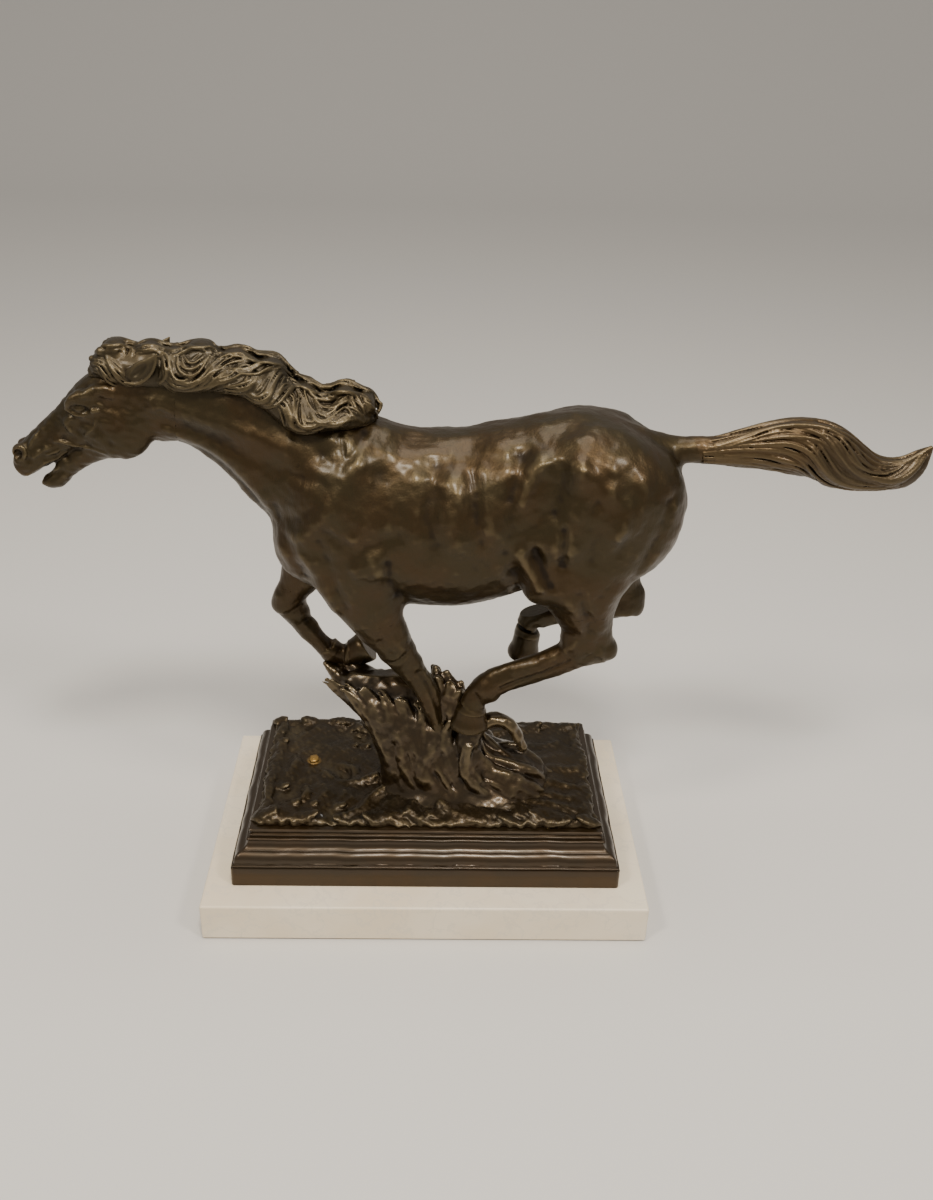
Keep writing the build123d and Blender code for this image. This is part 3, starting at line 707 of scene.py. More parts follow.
# The flank's relief, as strokes on the side view: (path, width of the bell, height), in mm.
RELIEF = [
    ([(-57, 364), (-52, 356), (-50, 350)], 9, 3.0),           # top of the shoulder blade
    ([(-62, 367), (-55, 351), (-45, 363)], 2.4, -1.4),
    ([(-48, 350), (-68, 322), (-86, 300)], 6, 1.6),           # its spine
    ([(-58, 345), (-77, 320), (-92, 304)], 4, -1.2),
    ([(-34, 340), (-35, 323), (-34, 304)], 5, -2.2),          # behind the shoulder
    ([(-46, 320), (-40, 306)], 11, 2.4),                      # triceps
    ([(-70, 304), (-54, 296), (-34, 297), (-22, 304)], 3.5, -1.6),
    ([(-94, 294), (-92, 284)], 8, 2.2),                       # point of the shoulder
    ([(-105, 312), (-97, 290), (-84, 266)], 3.5, -1.8),
    ([(-74, 296), (-66, 270), (-58, 246)], 3.5, -1.5),        # between the arm's muscles
    ([(-86, 280), (-76, 262), (-66, 244)], 5, 1.2),
    ([(-38, 283), (-36, 278)], 6, 3.0),                       # elbow
    ([(-28, 282), (-26, 266), (-22, 254)], 3, -2.0),
    ([(-51, 299), (-49, 296)], 3.4, 1.2),
    ([(-49, 278), (-47, 275)], 4.5, 1.8),
    ([(15, 333), (14, 318), (17, 303)], 7.5, 3.6),            # rib folds
    ([(25, 343), (29, 324), (33, 302)], 3.6, -1.5),
    ([(49, 349), (44, 330), (43, 311)], 9, 2.6),
    ([(35, 345), (36, 328), (37, 312)], 3.6, 1.0),
    ([(54, 336), (53, 322), (52, 308)], 4.5, -1.5),
    ([(1, 334), (-2, 316), (2, 300)], 4.5, -1.8),
    ([(-9, 338), (-10, 318), (-8, 300)], 5, 1.2),
    ([(3, 345), (27, 350), (61, 355), (77, 361), (100, 358), (114, 349)], 3.0, -1.0),
    ([(70, 354), (64, 341), (59, 329)], 4.0, 2.4),            # flank ridge
    ([(58, 352), (55, 341), (51, 331)], 3.4, -1.4),
    ([(74, 355), (84, 354), (95, 353)], 6, 1.4),              # point of the hip
    ([(98, 353), (106, 349), (113, 341)], 5.5, 1.6),
    ([(84, 352), (86, 338), (82, 322)], 4, -1.8),
    ([(82, 336), (76, 322), (72, 312)], 9, -3.4),                       # hollow of the flank
    ([(96, 356), (99, 346)], 5, 1.4),
    ([(115, 350), (118, 338)], 5, 1.2),
    ([(73, 303), (80, 299), (90, 296)], 7.5, 2.2),              # stifle
    ([(98, 306), (100, 296)], 9, 0.7),
    ([(88, 310), (89, 284)], 2.5, -2.0),
    ([(108, 312), (108, 290)], 4, -1.4),
    ([(137, 342), (135, 328), (124, 309)], 6, 2.0),
    ([(128, 328), (126, 312)], 6, 1.1),
    ([(134, 338), (132, 316), (126, 296)], 3, -1.1),
    ([(158, 328), (150, 300), (138, 272)], 3.5, -1.7),        # behind the thigh
    ([(112, 345), (104, 322), (98, 306)], 4, -1.3),
    ([(60, 292), (66, 280), (74, 266)], 3.5, 2.6),            # flank fold
    ([(70, 294), (76, 280), (82, 268)], 2.6, -1.8),
    ([(50, 290), (56, 276), (62, 262)], 4, -1.8),
    ([(-16, 268), (10, 261), (40, 263)], 8, 0.5),             # belly muscle
    ([(-14, 276), (14, 270), (44, 274)], 7, 0.8),
    ([(102, 262), (108, 244), (112, 228)], 3, -1.6),          # gaskin
    ([(90, 262), (98, 246), (104, 232)], 5, 1.2),
    ([(126, 262), (122, 246), (122, 232)], 4, 1.2),
    ([(-180, 379), (-150, 371), (-121, 364), (-96, 355)], 4.5, 1.7),
    ([(-176, 368), (-150, 360), (-124, 348), (-102, 336)], 3.5, -1.2),
    ([(-174, 358), (-150, 350), (-130, 338), (-112, 314)], 4.5, 1.4),
    ([(-168, 351), (-148, 343), (-128, 326), (-112, 302)], 2.4, -1.3),
    ([(-110, 346), (-88, 338), (-72, 336)], 3, -1.1),
    ([(-98, 372), (-84, 362), (-72, 352)], 3.5, -1.0),
]


# How much wider and stronger than listed each stroke of the relief is made.
STROKE_WIDEN, STROKE_RAISE, STROKE_SINK = 1.35, 1.3, 1.1


def masses(clay):
    """The whole horse but its head and hair, as far as it lies in this block."""
    clay.loft(BARREL, 3, rings=70, around=64)
    clay.loft(NECK, 10, rings=48, around=48)
    clay.loft(DOCK, 7, rings=32, around=32)
    for side in (-1, 1):
        clay.ball((-63, side * 27, 304), (26, 20, 44), 10, turn=0.25)
        clay.ball((-42, side * 34, 276), (27, 15, 23), 9, turn=-0.3)
        clay.ball((-88, side * 15, 282), (20, 18, 25), 10)
        clay.ball((110, side * 26, 322), (49, 27, 46), 14, turn=0.1)
        clay.ball((143, side * 20, 308), (27, 24, 44), 12, turn=-0.15)
        clay.ball((76, side * 36, 268), (15, 13, 20), 10)
    clay.loft(NEAR_FORE, 9, rings=60, around=36)
    clay.loft(OFF_FORE, 9, rings=50, around=36)
    clay.loft(OFF_FORE_PASTERN, 3, rings=24, around=32)
    clay.loft(NEAR_HIND, 10, rings=50, around=40)
    clay.loft(NEAR_HIND_CANNON, 7, rings=50, around=32)
    clay.loft(OFF_HIND, 10, rings=44, around=40)
    clay.loft(OFF_HIND_CANNON, 7, rings=44, around=32)
    for side in (-1, 1):
        for path, width, height in RELIEF:
            stronger = STROKE_RAISE if height > 0 else STROKE_SINK
            clay.stroke([(x + side, z) for x, z in path], STROKE_WIDEN * width, height * stronger, side)
    clay.handled(19, 0.30, 3)
    clay.handled(7, 0.09, 4)
    clay.handled(3.6, 0.035, 5)


# %% [markdown]
# ## Cutting the wax at a seam
# A founder cuts the wax square across a limb, and the two castings meet again at that plane.  Here the
# skin near the seam is split along the plane, what lies beyond is taken off, and the hole gets a flat
# cap.  Both sides are cut from the same form, so the line between them closes.

# %% The seam cutter
def in_order(items):
    """The items once each, in the order they come, which a set of mesh parts wouldn't keep."""
    return list(dict.fromkeys(items))


def cut_away(work, centre, away, low, high):
    """Splits the faces whose middles lie in a box along a plane, and deletes what is joined to the
    split on the plane's far side."""
    faces = [f for f in work.faces if all(a < c < b for a, c, b in zip(low, f.calc_center_median(), high))]
    edges = in_order(edge for face in faces for edge in face.edges)
    verts = in_order(vert for face in faces for vert in face.verts)
    cut = bmesh.ops.bisect_plane(
        work, geom=verts + edges + faces, dist=1e-7, plane_co=centre, plane_no=away,
    )["geom_cut"]
    rim = dict.fromkeys(item for item in cut if isinstance(item, bmesh.types.BMEdge))
    plane_point, plane_normal = Vector(centre), Vector(away)
    todo = [face for edge in rim for face in edge.link_faces
            if (face.calc_center_median() - plane_point).dot(plane_normal) > 0]
    gone = set(todo)
    while todo:
        for edge in todo.pop().edges:
            if edge not in rim:
                fresh = [face for face in edge.link_faces if face not in gone
                         and (face.calc_center_median() - plane_point).dot(plane_normal) > 0]
                gone.update(fresh)
                todo.extend(fresh)
    print("  cut away", len(gone), "faces of", len(work.faces), "rim", len(rim))
    bmesh.ops.delete(work, geom=[face for face in work.faces if face in gone], context="FACES")


def capped(work):
    """Closes the open cuts with flat faces whose edges stay sharp."""
    rims = [edge for edge in work.edges if edge.is_boundary]
    filled = bmesh.ops.holes_fill(work, edges=rims, sides=0)["faces"]
    for edge in {edge for face in filled for edge in face.edges}:
        edge.smooth = False
    for face in filled:
        face.smooth = False
    bmesh.ops.triangulate(work, faces=filled)


SLIVER_MM = 0.35                       # shorter edges beside a cut are merged away


def trimmed(piece, cuts, seed):
    """Makes every cut (plane's point, its normal towards what goes, low and high corner of a box) and
    keeps only the part that holds the point nearest to the seed, all in mm."""
    shift = np.array([0, 0, FELT_MM])
    work = bmesh.new()
    work.from_mesh(piece.data)
    for point, normal, low, high in cuts:
        away = np.array(normal, float) / np.linalg.norm(normal)
        corners = [(np.array(corner) + shift) * MM for corner in (low, high)]
        cut_away(work, (np.array(point, float) + shift) * MM, away, *corners)
    print(piece.name, "cut to", len(work.faces), "faces")
    target = (np.array(seed, float) + shift) * MM
    start = min(work.faces, key=lambda face: (face.calc_center_median() - Vector(target)).length)
    kept, todo = {start}, [start]
    while todo:
        for edge in todo.pop().edges:
            fresh = [face for face in edge.link_faces if face not in kept]
            kept.update(fresh)
            todo.extend(fresh)
    bmesh.ops.delete(work, geom=[f for f in work.faces if f not in kept], context="FACES")
    bmesh.ops.delete(work, geom=[v for v in work.verts if not v.link_faces], context="VERTS")
    rim = in_order(vert for edge in work.edges if edge.is_boundary for vert in edge.verts)
    bmesh.ops.dissolve_degenerate(work, edges=work.edges[:], dist=1e-6)
    rim = [vert for vert in rim if vert.is_valid]
    near = in_order(other for vert in rim for edge in vert.link_edges for other in edge.verts)
    bmesh.ops.remove_doubles(work, verts=near, dist=SLIVER_MM * MM)
    capped(work)
    work.to_mesh(piece.data)
    work.free()


def seam(top, bottom, across, onward):
    """A seam's point and normal, from the ends of its section on the side view and a point beyond."""
    (x1, z1), (x2, z2) = top, bottom
    normal = np.array([-(z1 - z2), 0, x1 - x2], float)
    point = np.array([(x1 + x2) / 2, across, (z1 + z2) / 2])
    return point, normal * np.sign(normal @ (np.array([onward[0], across, onward[1]]) - point))


NECK_SEAM = seam((-76, 379), (-109, 289), 0, (-130, 360))
HEAD_SEAM = seam((-166, 408), (-171, 348), 0, (-200, 370))
NEAR_FORE_SEAM = seam((-60, 227), (-20, 231), -30, (-20, 190))
OFF_FORE_SEAM = seam((-113, 228), (-85, 224), 26, (-110, 200))
NEAR_HIND_SEAM = seam((84, 239), (129, 241), -31, (115, 210))
OFF_HIND_SEAM = seam((120, 219), (158, 230), 31, (150, 210))
TAIL_SEAM = seam((177, 358), (184, 340), 0, (200, 350))


def beyond(seam_plane, low, high):
    """The cut that takes off what lies past a seam."""
    return (*seam_plane, low, high)


def before(seam_plane, low, high):
    """The cut that takes off what lies ahead of a seam."""
    return (seam_plane[0], -seam_plane[1], low, high)


# %% [markdown]
# ## Hair
# The mane is modelled as tresses.  Each is a bundle of strands that run side by side along a guide line,
# wide in the middle and drawn together at the ends, as a toothed tool leaves them in wax.  The guides are
# drawn on the side view.  Every strand is then laid on the clay that is already there, so a later tress
# lies over an earlier one.  Hair curves could give thousands of loose hairs, but bronze hair is solid.

# %% Tresses
def eased(values, times=2):
    """Each value becomes the mean of itself and its neighbours, a few times over."""
    for _ in range(times):
        padded = np.concatenate([values[:1], values, values[-1:]])
        values = (padded[:-2] + 2 * padded[1:-1] + padded[2:]) / 4
    return values


# No strand's middle rises above this, so that the waves end level with the crest of the bare casting.
HAIR_TOP_MM = 415.2


def tress(clay, guide, wide, strands, side, lift=0.3, thick=1.0, soft=0.6, seed=0, bulge=1.2, ease=3):
    """Strands laid side by side along a guide of the side view.  A strand's place u runs from -1 to 1
    across the tress, and the tress is lifted by bulge times (1 - u^2) at its middle."""
    chance = np.random.default_rng(seed)
    line, _ = resampled(guide, np.ones(len(guide)), 3)
    t = np.linspace(0, 1, len(line))
    ahead = np.gradient(line, axis=0)
    ahead /= np.linalg.norm(ahead, axis=1)[:, None]
    width = wide * (0.35 + 0.65 * np.sin(np.pi * (0.06 + 0.86 * t)))
    gap = width / max(strands - 1, 1)
    laid = []
    for u in np.linspace(-1, 1, strands):
        wander = 0.22 * np.sin(2 * np.pi * (t * chance.uniform(0.7, 1.6) + chance.uniform()))
        across = (width * (u + wander) / 2)[:, None] * np.stack([-ahead[:, 1], ahead[:, 0]], 1)
        x, z = (line + across).T
        z = np.minimum(eased(np.clip(z, *clay.outline(x)), 2), HAIR_TOP_MM)
        high = lift + bulge * (1 - u * u) * np.sin(np.pi * t)
        y = eased(clay.lay(x, z, side, 0.0) + side * high, ease)
        size = chance.uniform(0.50, 0.74) * thick
        radius = gap * size * (0.35 + 0.65 * np.sin(np.pi * np.clip(t + 0.04, 0, 1)) ** 0.6) + 0.18
        laid.append((np.stack([x, y, z], 1), radius))
    for path, radius in laid:
        clay.strand(path, radius, soft, stretches=1)


# %% [markdown]
# ## The mane
# The mane blows back in waves from the poll to the withers.  A solid core with a hump for each wave comes
# first, then the tresses from the lowest layer up.  The ears lie back through it.  They belong to this
# casting, because on the statue the hair closes round their roots.

# %% Mane
MANE_CORE = [
    ((-226, 398), (-222, 391), 0, 7),
    ((-217, 408), (-210, 388), 0, 12),
    ((-204, 412), (-199, 386), 0, 15.5),
    ((-180, 411), (-182, 384), 0, 17.5),
    ((-155, 412), (-160, 385), 0, 19),
    ((-130, 410), (-138, 385), 0, 22.5),
    ((-106, 403), (-117, 378), 0, 28),
    ((-84, 387), (-98, 364), 0, 31),
    ((-64, 383), (-79, 362), 0, 32),
    ((-47, 381), (-60, 363), 0, 25),
    ((-39, 370), (-44, 363), 0, 9),
]
# The humps of the waves along the crest: x, distance across, height, and three radii.
WAVE_HUMPS = [
    (-207, 4, 409, 8, 7, 8), (-216, 6, 403, 6, 6, 6), (-184, 4, 406, 11, 8, 9.5), (-168, 5, 406, 8, 8, 7),
    (-152, 4, 407, 12, 8, 10), (-129, 5, 403, 11, 9, 9.5), (-107, 6, 399, 10, 9, 8.5),
    (-88, 6, 384, 10, 10, 7), (-59, 7, 381, 9, 9, 9), (-46, 7, 377, 7, 8, 8.5),
]
# Each tress: its guide, its width and its number of strands, from the lower layer to the upper one.
TRESSES = [
    ([(-60, 367), (-52, 370), (-44, 369), (-38, 366)], 5, 3),
    ([(-73, 371), (-67, 374), (-62, 373), (-56, 376), (-50, 375), (-45, 371)], 5, 3),
    ([(-103, 388), (-97, 384), (-94, 377), (-93, 371), (-88, 367), (-82, 365), (-77, 368)], 7, 4),
    ([(-100, 391), (-93, 387), (-90, 380), (-89, 374), (-84, 370), (-77, 371), (-72, 374)], 7, 4),
    ([(-95, 395), (-87, 388), (-86, 380), (-83, 374), (-77, 374), (-71, 376), (-66, 373)], 7, 4),
    ([(-87, 395), (-82, 388), (-78, 382), (-74, 379), (-68, 379), (-62, 384), (-55, 388)], 8, 4),
    ([(-70, 376), (-64, 380), (-59, 383), (-54, 382), (-49, 378), (-46, 374), (-42, 371)], 6, 3),
    ([(-120, 388), (-113, 385), (-106, 386), (-100, 391), (-94, 396), (-88, 398), (-83, 397)], 7, 4),
    ([(-125, 392), (-118, 389), (-112, 388), (-106, 392), (-102, 398), (-97, 403), (-92, 405)], 8, 4),
    ([(-90, 399), (-83, 397), (-79, 389), (-74, 384), (-68, 384), (-63, 387), (-56, 389), (-51, 386),
      (-48, 380)],
     8, 4),
    ([(-95, 405), (-88, 403), (-83, 401), (-78, 395), (-74, 390), (-68, 388), (-62, 390), (-59, 395),
      (-56, 398)],
     9, 4),
    ([(-176, 396), (-172, 392), (-166, 389), (-160, 387), (-154, 386)], 6, 3),
    ([(-163, 391), (-153, 390), (-143, 394), (-135, 397), (-126, 400)], 6, 3),
    ([(-150, 388), (-143, 388), (-136, 390), (-128, 392), (-122, 390)], 5, 3),
    ([(-172, 403), (-170, 397), (-166, 392), (-159, 391), (-151, 393), (-143, 398), (-134, 402),
      (-125, 406)], 8, 4),
    ([(-169, 412), (-169, 405), (-167, 398), (-163, 394), (-155, 395), (-147, 400), (-141, 405), (-134, 408),
      (-127, 413)], 8, 4),
    ([(-166, 415), (-169, 409), (-167, 402), (-163, 398), (-155, 399), (-148, 404), (-143, 410),
      (-137, 415)], 9, 4),
    ([(-161, 415), (-163, 410), (-160, 405), (-154, 404), (-148, 409), (-143, 414)], 7, 3),
    ([(-135, 394), (-128, 394), (-120, 396), (-115, 400), (-110, 405), (-105, 407), (-99, 407)], 8, 4),
    ([(-137, 399), (-129, 402), (-123, 406), (-116, 406), (-111, 408), (-105, 409), (-98, 408),
      (-93, 404)], 8, 4),
    ([(-139, 404), (-133, 408), (-127, 409), (-120, 409), (-114, 411), (-108, 414), (-102, 414),
      (-98, 410)], 8, 4),
    ([(-168, 412), (-160, 417), (-153, 419), (-146, 418), (-141, 414)], 8, 3),
    ([(-140, 410), (-135, 414), (-130, 416), (-125, 416), (-121, 413), (-117, 408)], 7, 3),
    ([(-75, 389), (-67, 391), (-62, 393), (-57, 395), (-51, 392), (-48, 387), (-45, 381), (-43, 376)], 9, 4),
    ([(-46, 384), (-41, 382), (-38, 378), (-38, 373)], 6, 3),
    ([(-197, 413), (-189, 414), (-183, 416), (-176, 417), (-171, 416), (-167, 412)], 8, 3),
    ([(-180, 412), (-174, 410), (-172, 405), (-173, 399), (-178, 393)], 6, 3),
    ([(-224, 394), (-218, 393), (-213, 392), (-208, 387), (-203, 383), (-194, 383), (-185, 386),
      (-177, 391)], 6, 3),
    ([(-224, 398), (-219, 399), (-214, 397), (-210, 393), (-207, 389), (-202, 386), (-195, 385),
      (-187, 388)], 6, 3),
    ([(-222, 403), (-218, 405), (-213, 403), (-210, 399), (-207, 394), (-202, 391), (-196, 390)], 6, 3),
    ([(-213, 410), (-209, 406), (-205, 401), (-201, 396), (-195, 391), (-188, 391)], 6, 3),
    ([(-214, 409), (-212, 415), (-206, 418), (-200, 417), (-197, 412), (-199, 407)], 8, 3),
]


def ear_leaf(clay, side):
    """An ear pinned back: a flat leaf that tapers to its tip, scooped out, with a thin raised rim."""
    clay.ball((-188, side * 18, 402), (9.5, 3.0, 5.4), 1.2, turn=0.7)
    clay.strand([(-192, side * 17.5, 399), (-183, side * 18.5, 406), (-176, side * 19, 413.5)],
                [5.6, 4.4, 0.8], 1.0, flat=0.42)
    clay.ball((-188.5, side * 22, 403), (8.5, 3.4, 3.4), 0.8, turn=0.72, cut=True)
    rim = [(-198, 395), (-191, 394), (-184, 397.5), (-179.5, 403), (-177, 409), (-176, 413.5)]
    clay.strand([(x, side * (20.2 - 0.2 * i), z) for i, (x, z) in enumerate(rim)],
                [0.8, 1.1, 1.2, 1.2, 1.0, 0.5], 0.6)


def mane():
    """The crest's core and humps, then every tress on both sides, the ears and the forelock's knots."""
    clay = Clay((-236, -50, 350), (-28, 50, 426), 0.75)
    clay.loft(MANE_CORE, 2, rings=60, around=40)
    for x, y, z, *radii in WAVE_HUMPS:
        for across in (-y, 0, y):
            clay.ball((x, across, z), radii, 3)
    for side in (-1, 1):
        for i, (guide, wide, strands) in enumerate(TRESSES):
            slide = 0 if side < 0 else 2.5 * math.sin(1.7 * i)
            laid = [(x + slide, z) for x, z in guide]
            tress(clay, laid, 1.2 * wide, strands + 3, side, thick=0.92, soft=0.4,
                  seed=i + 50 * (side > 0), bulge=1.8)
        ear_leaf(clay, side)
        for x, y, z, r in ((-220.5, 7, 406, 2.3), (-214, 8, 411, 3.4)):
            clay.ball((x, side * y, z), (r, r, r), 0.8)
    return clay


mane_piece = casting("mane_casting.hair", mane(), fine_reach=1.5, broad_reach=4.0)

# %% [markdown]
# ## The tail
# The tail streams out behind the horse.  It is a core that widens and then curls up to a point, with long
# tresses along it, and it is cut off square where it is joined to the dock.

# %% Tail
TAIL_CORE = [
    ((196, 357), (200, 342), 0, 6),
    ((210, 361), (214, 343), 0, 7),
    ((226, 367), (230, 339), 0, 9.5),
    ((243, 372), (248, 334), 0, 12),
    ((262, 371), (262, 332), 0, 13),
    ((278, 366), (275, 325), 0, 13),
    ((291, 357), (291, 324), 0, 12),
    ((305, 347), (308, 323), 0, 10),
    ((317, 345), (322, 324), 0, 8),
    ((328, 348), (335, 329), 0, 5.5),
    ((336, 354), (342, 340), 0, 3),
    ((342, 357), (344, 354), 0, 1.2),
]
TAIL_TRESSES = [
    ([(184, 342), (200, 343), (217, 340), (230, 335), (240, 333), (249, 334)], 6, 3),
    ([(184, 345), (202, 346), (219, 344), (233, 341), (247, 339)], 6, 3),
    ([(183, 348), (205, 350), (224, 350), (239, 346), (252, 342), (262, 333), (268, 327)], 8, 4),
    ([(183, 351), (203, 355), (226, 357), (240, 356), (253, 350), (263, 340), (274, 332), (292, 327),
      (309, 325),
      (325, 328)], 9, 4),
    ([(228, 362), (244, 361), (257, 352), (266, 341), (277, 331)], 7, 3),
    ([(184, 353), (203, 358), (225, 362), (241, 364), (255, 359), (265, 348), (276, 337), (291, 331),
      (310, 329),
      (325, 333), (336, 345)], 9, 4),
    ([(186, 355), (204, 360), (225, 367), (244, 370), (261, 367), (274, 356), (288, 342), (305, 336),
      (320, 338),
      (332, 348), (341, 356)], 9, 4),
    ([(262, 370), (276, 364), (286, 352), (298, 343), (312, 340)], 7, 3),
    ([(190, 356), (205, 361), (222, 368), (242, 374), (267, 372), (282, 366), (296, 355), (308, 348),
      (322, 347),
      (332, 352), (343, 357)], 8, 4),
    ([(300, 337), (312, 333), (324, 336), (333, 345), (339, 353)], 6, 3),
]


def tail():
    """The tail's core and the dock that it grows from, then the tresses.  Those of the far side sway by a
    sine of their number, which fades in over 40 mm past the dock."""
    clay = Clay((160, -26, 314), (350, 26, 382), 0.75)
    clay.loft(TAIL_CORE, 2, rings=50, around=32)
    masses(clay)
    for side in (-1, 1):
        for i, (guide, wide, strands) in enumerate(TAIL_TRESSES):
            sway = 0 if side < 0 else 2.0 * math.sin(2.1 * i)
            laid = [(x, z + sway * min(1, max(0, (x - 200) / 40)) * (x < 300)) for x, z in guide]
            tress(clay, laid, wide, strands + 2, side, soft=0.4, seed=200 + i + 50 * (side > 0), bulge=1.8)
    return clay


tail_piece = casting("tail_casting.hair", tail(), fine_reach=1.5, broad_reach=4.0)
trimmed(tail_piece, [before(TAIL_SEAM, (150, -40, 300), (200, 40, 400))], (260, -10, 350))

# %% [markdown]
# ## The head
# A horse's head is a long wedge: a flat-sided skull, a disc of jaw, and a muzzle that opens.  The eye sits
# on the side under a ridge of bone, and a second ridge runs from under it towards the nostril.  Lids, rims
# and wrinkles are rolled threads of wax pressed on; sockets and nostrils are scooped out.

# %% Head
SKULL = [
    ((-160, 404), (-166, 354), 0, 14),
    ((-184, 404), (-183, 353), 0, 15),
    ((-204, 403), (-194, 347), 0, 15.5),
    ((-219, 398), (-205, 341), 0, 16),
    ((-232, 390), (-216, 336), 0, 16),
    ((-243, 378.5), (-228, 338), 0, 13),
    ((-253, 368), (-239, 340), 0, 10.5),
    ((-264, 358), (-250, 335), 0, 9),
    ((-274, 348.5), (-261, 329.5), 0, 9),
    ((-281, 340), (-270, 324.5), 0, 9.3),
    ((-284.3, 333), (-277, 321), 0, 7.5),
]
JAW = [
    ((-212, 356), (-204, 339), 0, 11),
    ((-226, 350), (-219, 336), 0, 9.5),
    ((-239, 343), (-234, 329.5), 0, 7.8),
    ((-248, 336.5), (-245, 322), 0, 7),
    ((-253, 331.5), (-251, 315.5), 0, 6.8),
    ((-258.5, 325.5), (-257, 313), 0, 6.8),
    ((-263.5, 321), (-262.5, 313), 0, 6),
    ((-266.5, 319.5), (-266, 315), 0, 4),
]


# The flesh that closes the mouth behind its corner, between the skull and the jaw.
CHEEK = [
    ((-256, 331.5), (-255.5, 326), 0, 5.5),
    ((-250, 338), (-247.5, 325), 0, 7.5),
    ((-239, 348), (-236, 333), 0, 9.5),
    ((-226, 352), (-222, 340), 0, 11),
]


def threads(clay, side, rolls):
    """Rolled threads of wax laid on one side of the face: (path on the side view, radii, softness)."""
    for path, radii, soft in rolls:
        line, size = resampled(path, radii, 4)
        y = eased(clay.lay(*line.T, side, 0.0), 2)
        clay.strand(np.column_stack([line[:, 0], y, line[:, 1]]), size, soft, stretches=1)


def eye(clay, side):
    """A bony socket, scooped out, with an eyeball set back in it and two lids."""
    clay.ball((-230, side * 11.5, 378), (9, 5.5, 7), 4)                      # the socket's bone
    out = abs(float(clay.lay(np.array([-231.0]), np.array([375.0]), side, 0)[0]))
    clay.ball((-230.5, side * (out + 1.3), 374.8), (7.2, 3.4, 3.4), 1.6, turn=-0.1, cut=True)
    clay.ball((-231, side * (out - 3.3), 375.2), (5.2, 4.2, 3.2), 0.6)
    lid = [(-239, 374.5), (-236, 378.8), (-230, 380.6), (-223, 379.2), (-215, 376.8)]
    low = [(-239, 374), (-235, 371.0), (-228, 370.6), (-219, 373.6)]
    for path, size in ((lid, (1.0, 1.8, 2.2, 2.0, 1.0)), (low, (0.9, 1.4, 1.5, 1.6))):
        clay.strand([(x, side * (out - 1.8 + 0.05 * (x + 231)), z) for x, z in path], size, 1.5)


def face_details(clay, side):
    """One side of the face, with side -1 for the near one."""
    clay.ball((-206, side * 8.5, 358), (19, 8.5, 19.5), 5)                   # jowl
    eye(clay, side)
    threads(clay, side, [
        ([(-238, 377), (-234, 381.5), (-228, 384), (-221, 383)], (1.4, 3.0, 3.4, 2.4), 3.5),      # brow
        ([(-224, 386), (-216, 387.5), (-209, 385)], (2.2, 3.6, 2.4), 4.0),
        ([(-222, 374), (-218.5, 374.5)], (1.6, 1.2), 1.0),
        ([(-221, 368), (-222, 364), (-225, 360), (-230, 356)], (0.8, 1.1, 1.2, 0.8), 1.2),        # vein
        ([(-238, 367), (-241, 363), (-239, 359)], (2.0, 2.4, 1.6), 2.2),
        ([(-252, 349.5), (-247, 350), (-237, 347), (-226, 346.5), (-219, 344)],
         (0.8, 1.4, 1.6, 1.4, 0.8), 1.6),
        ([(-262, 355), (-266, 350), (-269.5, 345)], (1.0, 1.6, 1.2), 1.4),                        # wrinkles
        ([(-255, 346), (-261, 342.5), (-267.5, 338)], (0.9, 1.6, 1.2), 1.4),
        ([(-249, 344), (-254, 341.5), (-259, 340)], (0.8, 1.4, 0.8), 1.2),
        ([(-245.5, 341.5), (-249, 339.5), (-253, 336.5)], (0.9, 1.3, 1.1), 1.0),    # mouth's corner
        ([(-255, 336), (-261, 333.5), (-269, 328), (-275, 324.5)], (1.0, 1.3, 1.4, 1.2), 1.2),    # upper lip
        ([(-252, 330), (-256.5, 326.5), (-261, 322.5), (-265, 320)], (0.9, 1.1, 1.2, 1.0), 1.0),  # lower lip
    ])
    clay.ball((-276, side * 6.2, 340.5), (6, 4.6, 6.2), 2)                   # nostril's wing
    clay.ball((-278, side * 10.6, 339.6), (3.4, 4.4, 4.4), 0.9, turn=-0.5, cut=True)
    threads(clay, side, [
        ([(-277.5, 344.5), (-275, 345.2), (-272.6, 343), (-272.4, 339.6), (-274.2, 335.4)],
         (0.7, 1.1, 1.3, 1.3, 0.8), 0.7),
        ([(-281, 336), (-279.5, 333.5), (-276.5, 333)], (0.6, 0.9, 0.6), 0.8),
    ])


def head():
    """Skull, jaw and cheek, then each side's details and the hollows between the bones."""
    clay = Clay((-290, -28, 306), (-158, 28, 416), 0.7)
    masses(clay)
    clay.loft(SKULL, 2, rings=80, around=56, square=2.3)
    clay.loft(JAW, 2.5, rings=44, around=40)
    clay.loft(CHEEK, 2.0, rings=30, around=32)
    for side in (-1, 1):
        face_details(clay, side)
    clay.stroke([(-230, 350), (-238, 343), (-246, 338)], 3.0, -1.3)
    clay.stroke([(-248, 364), (-256, 354), (-262, 346)], 3.0, -1.1)
    clay.stroke([(-232, 365), (-236, 356), (-246, 352)], 3.4, -1.0)
    clay.stroke([(-212, 377), (-204, 378)], 5, -1.2)
    clay.stroke([(-226, 366), (-218, 362), (-213, 352)], 3.2, -0.8)
    clay.stroke([(-256, 322), (-250, 328)], 2.5, -0.5)
    clay.handled(6, 0.16, 12)
    return clay


def poll(clay):
    """The back of the skull, which the neck's upper end shares with the head."""
    clay.loft(SKULL, 2, rings=80, around=56, square=2.3)


head_piece = casting("head_casting.skin", head(), fine_reach=1.5, broad_reach=4.0)
trimmed(head_piece, [before(HEAD_SEAM, (-190, -40, 300), (-120, 40, 430))], (-250, -8, 350))

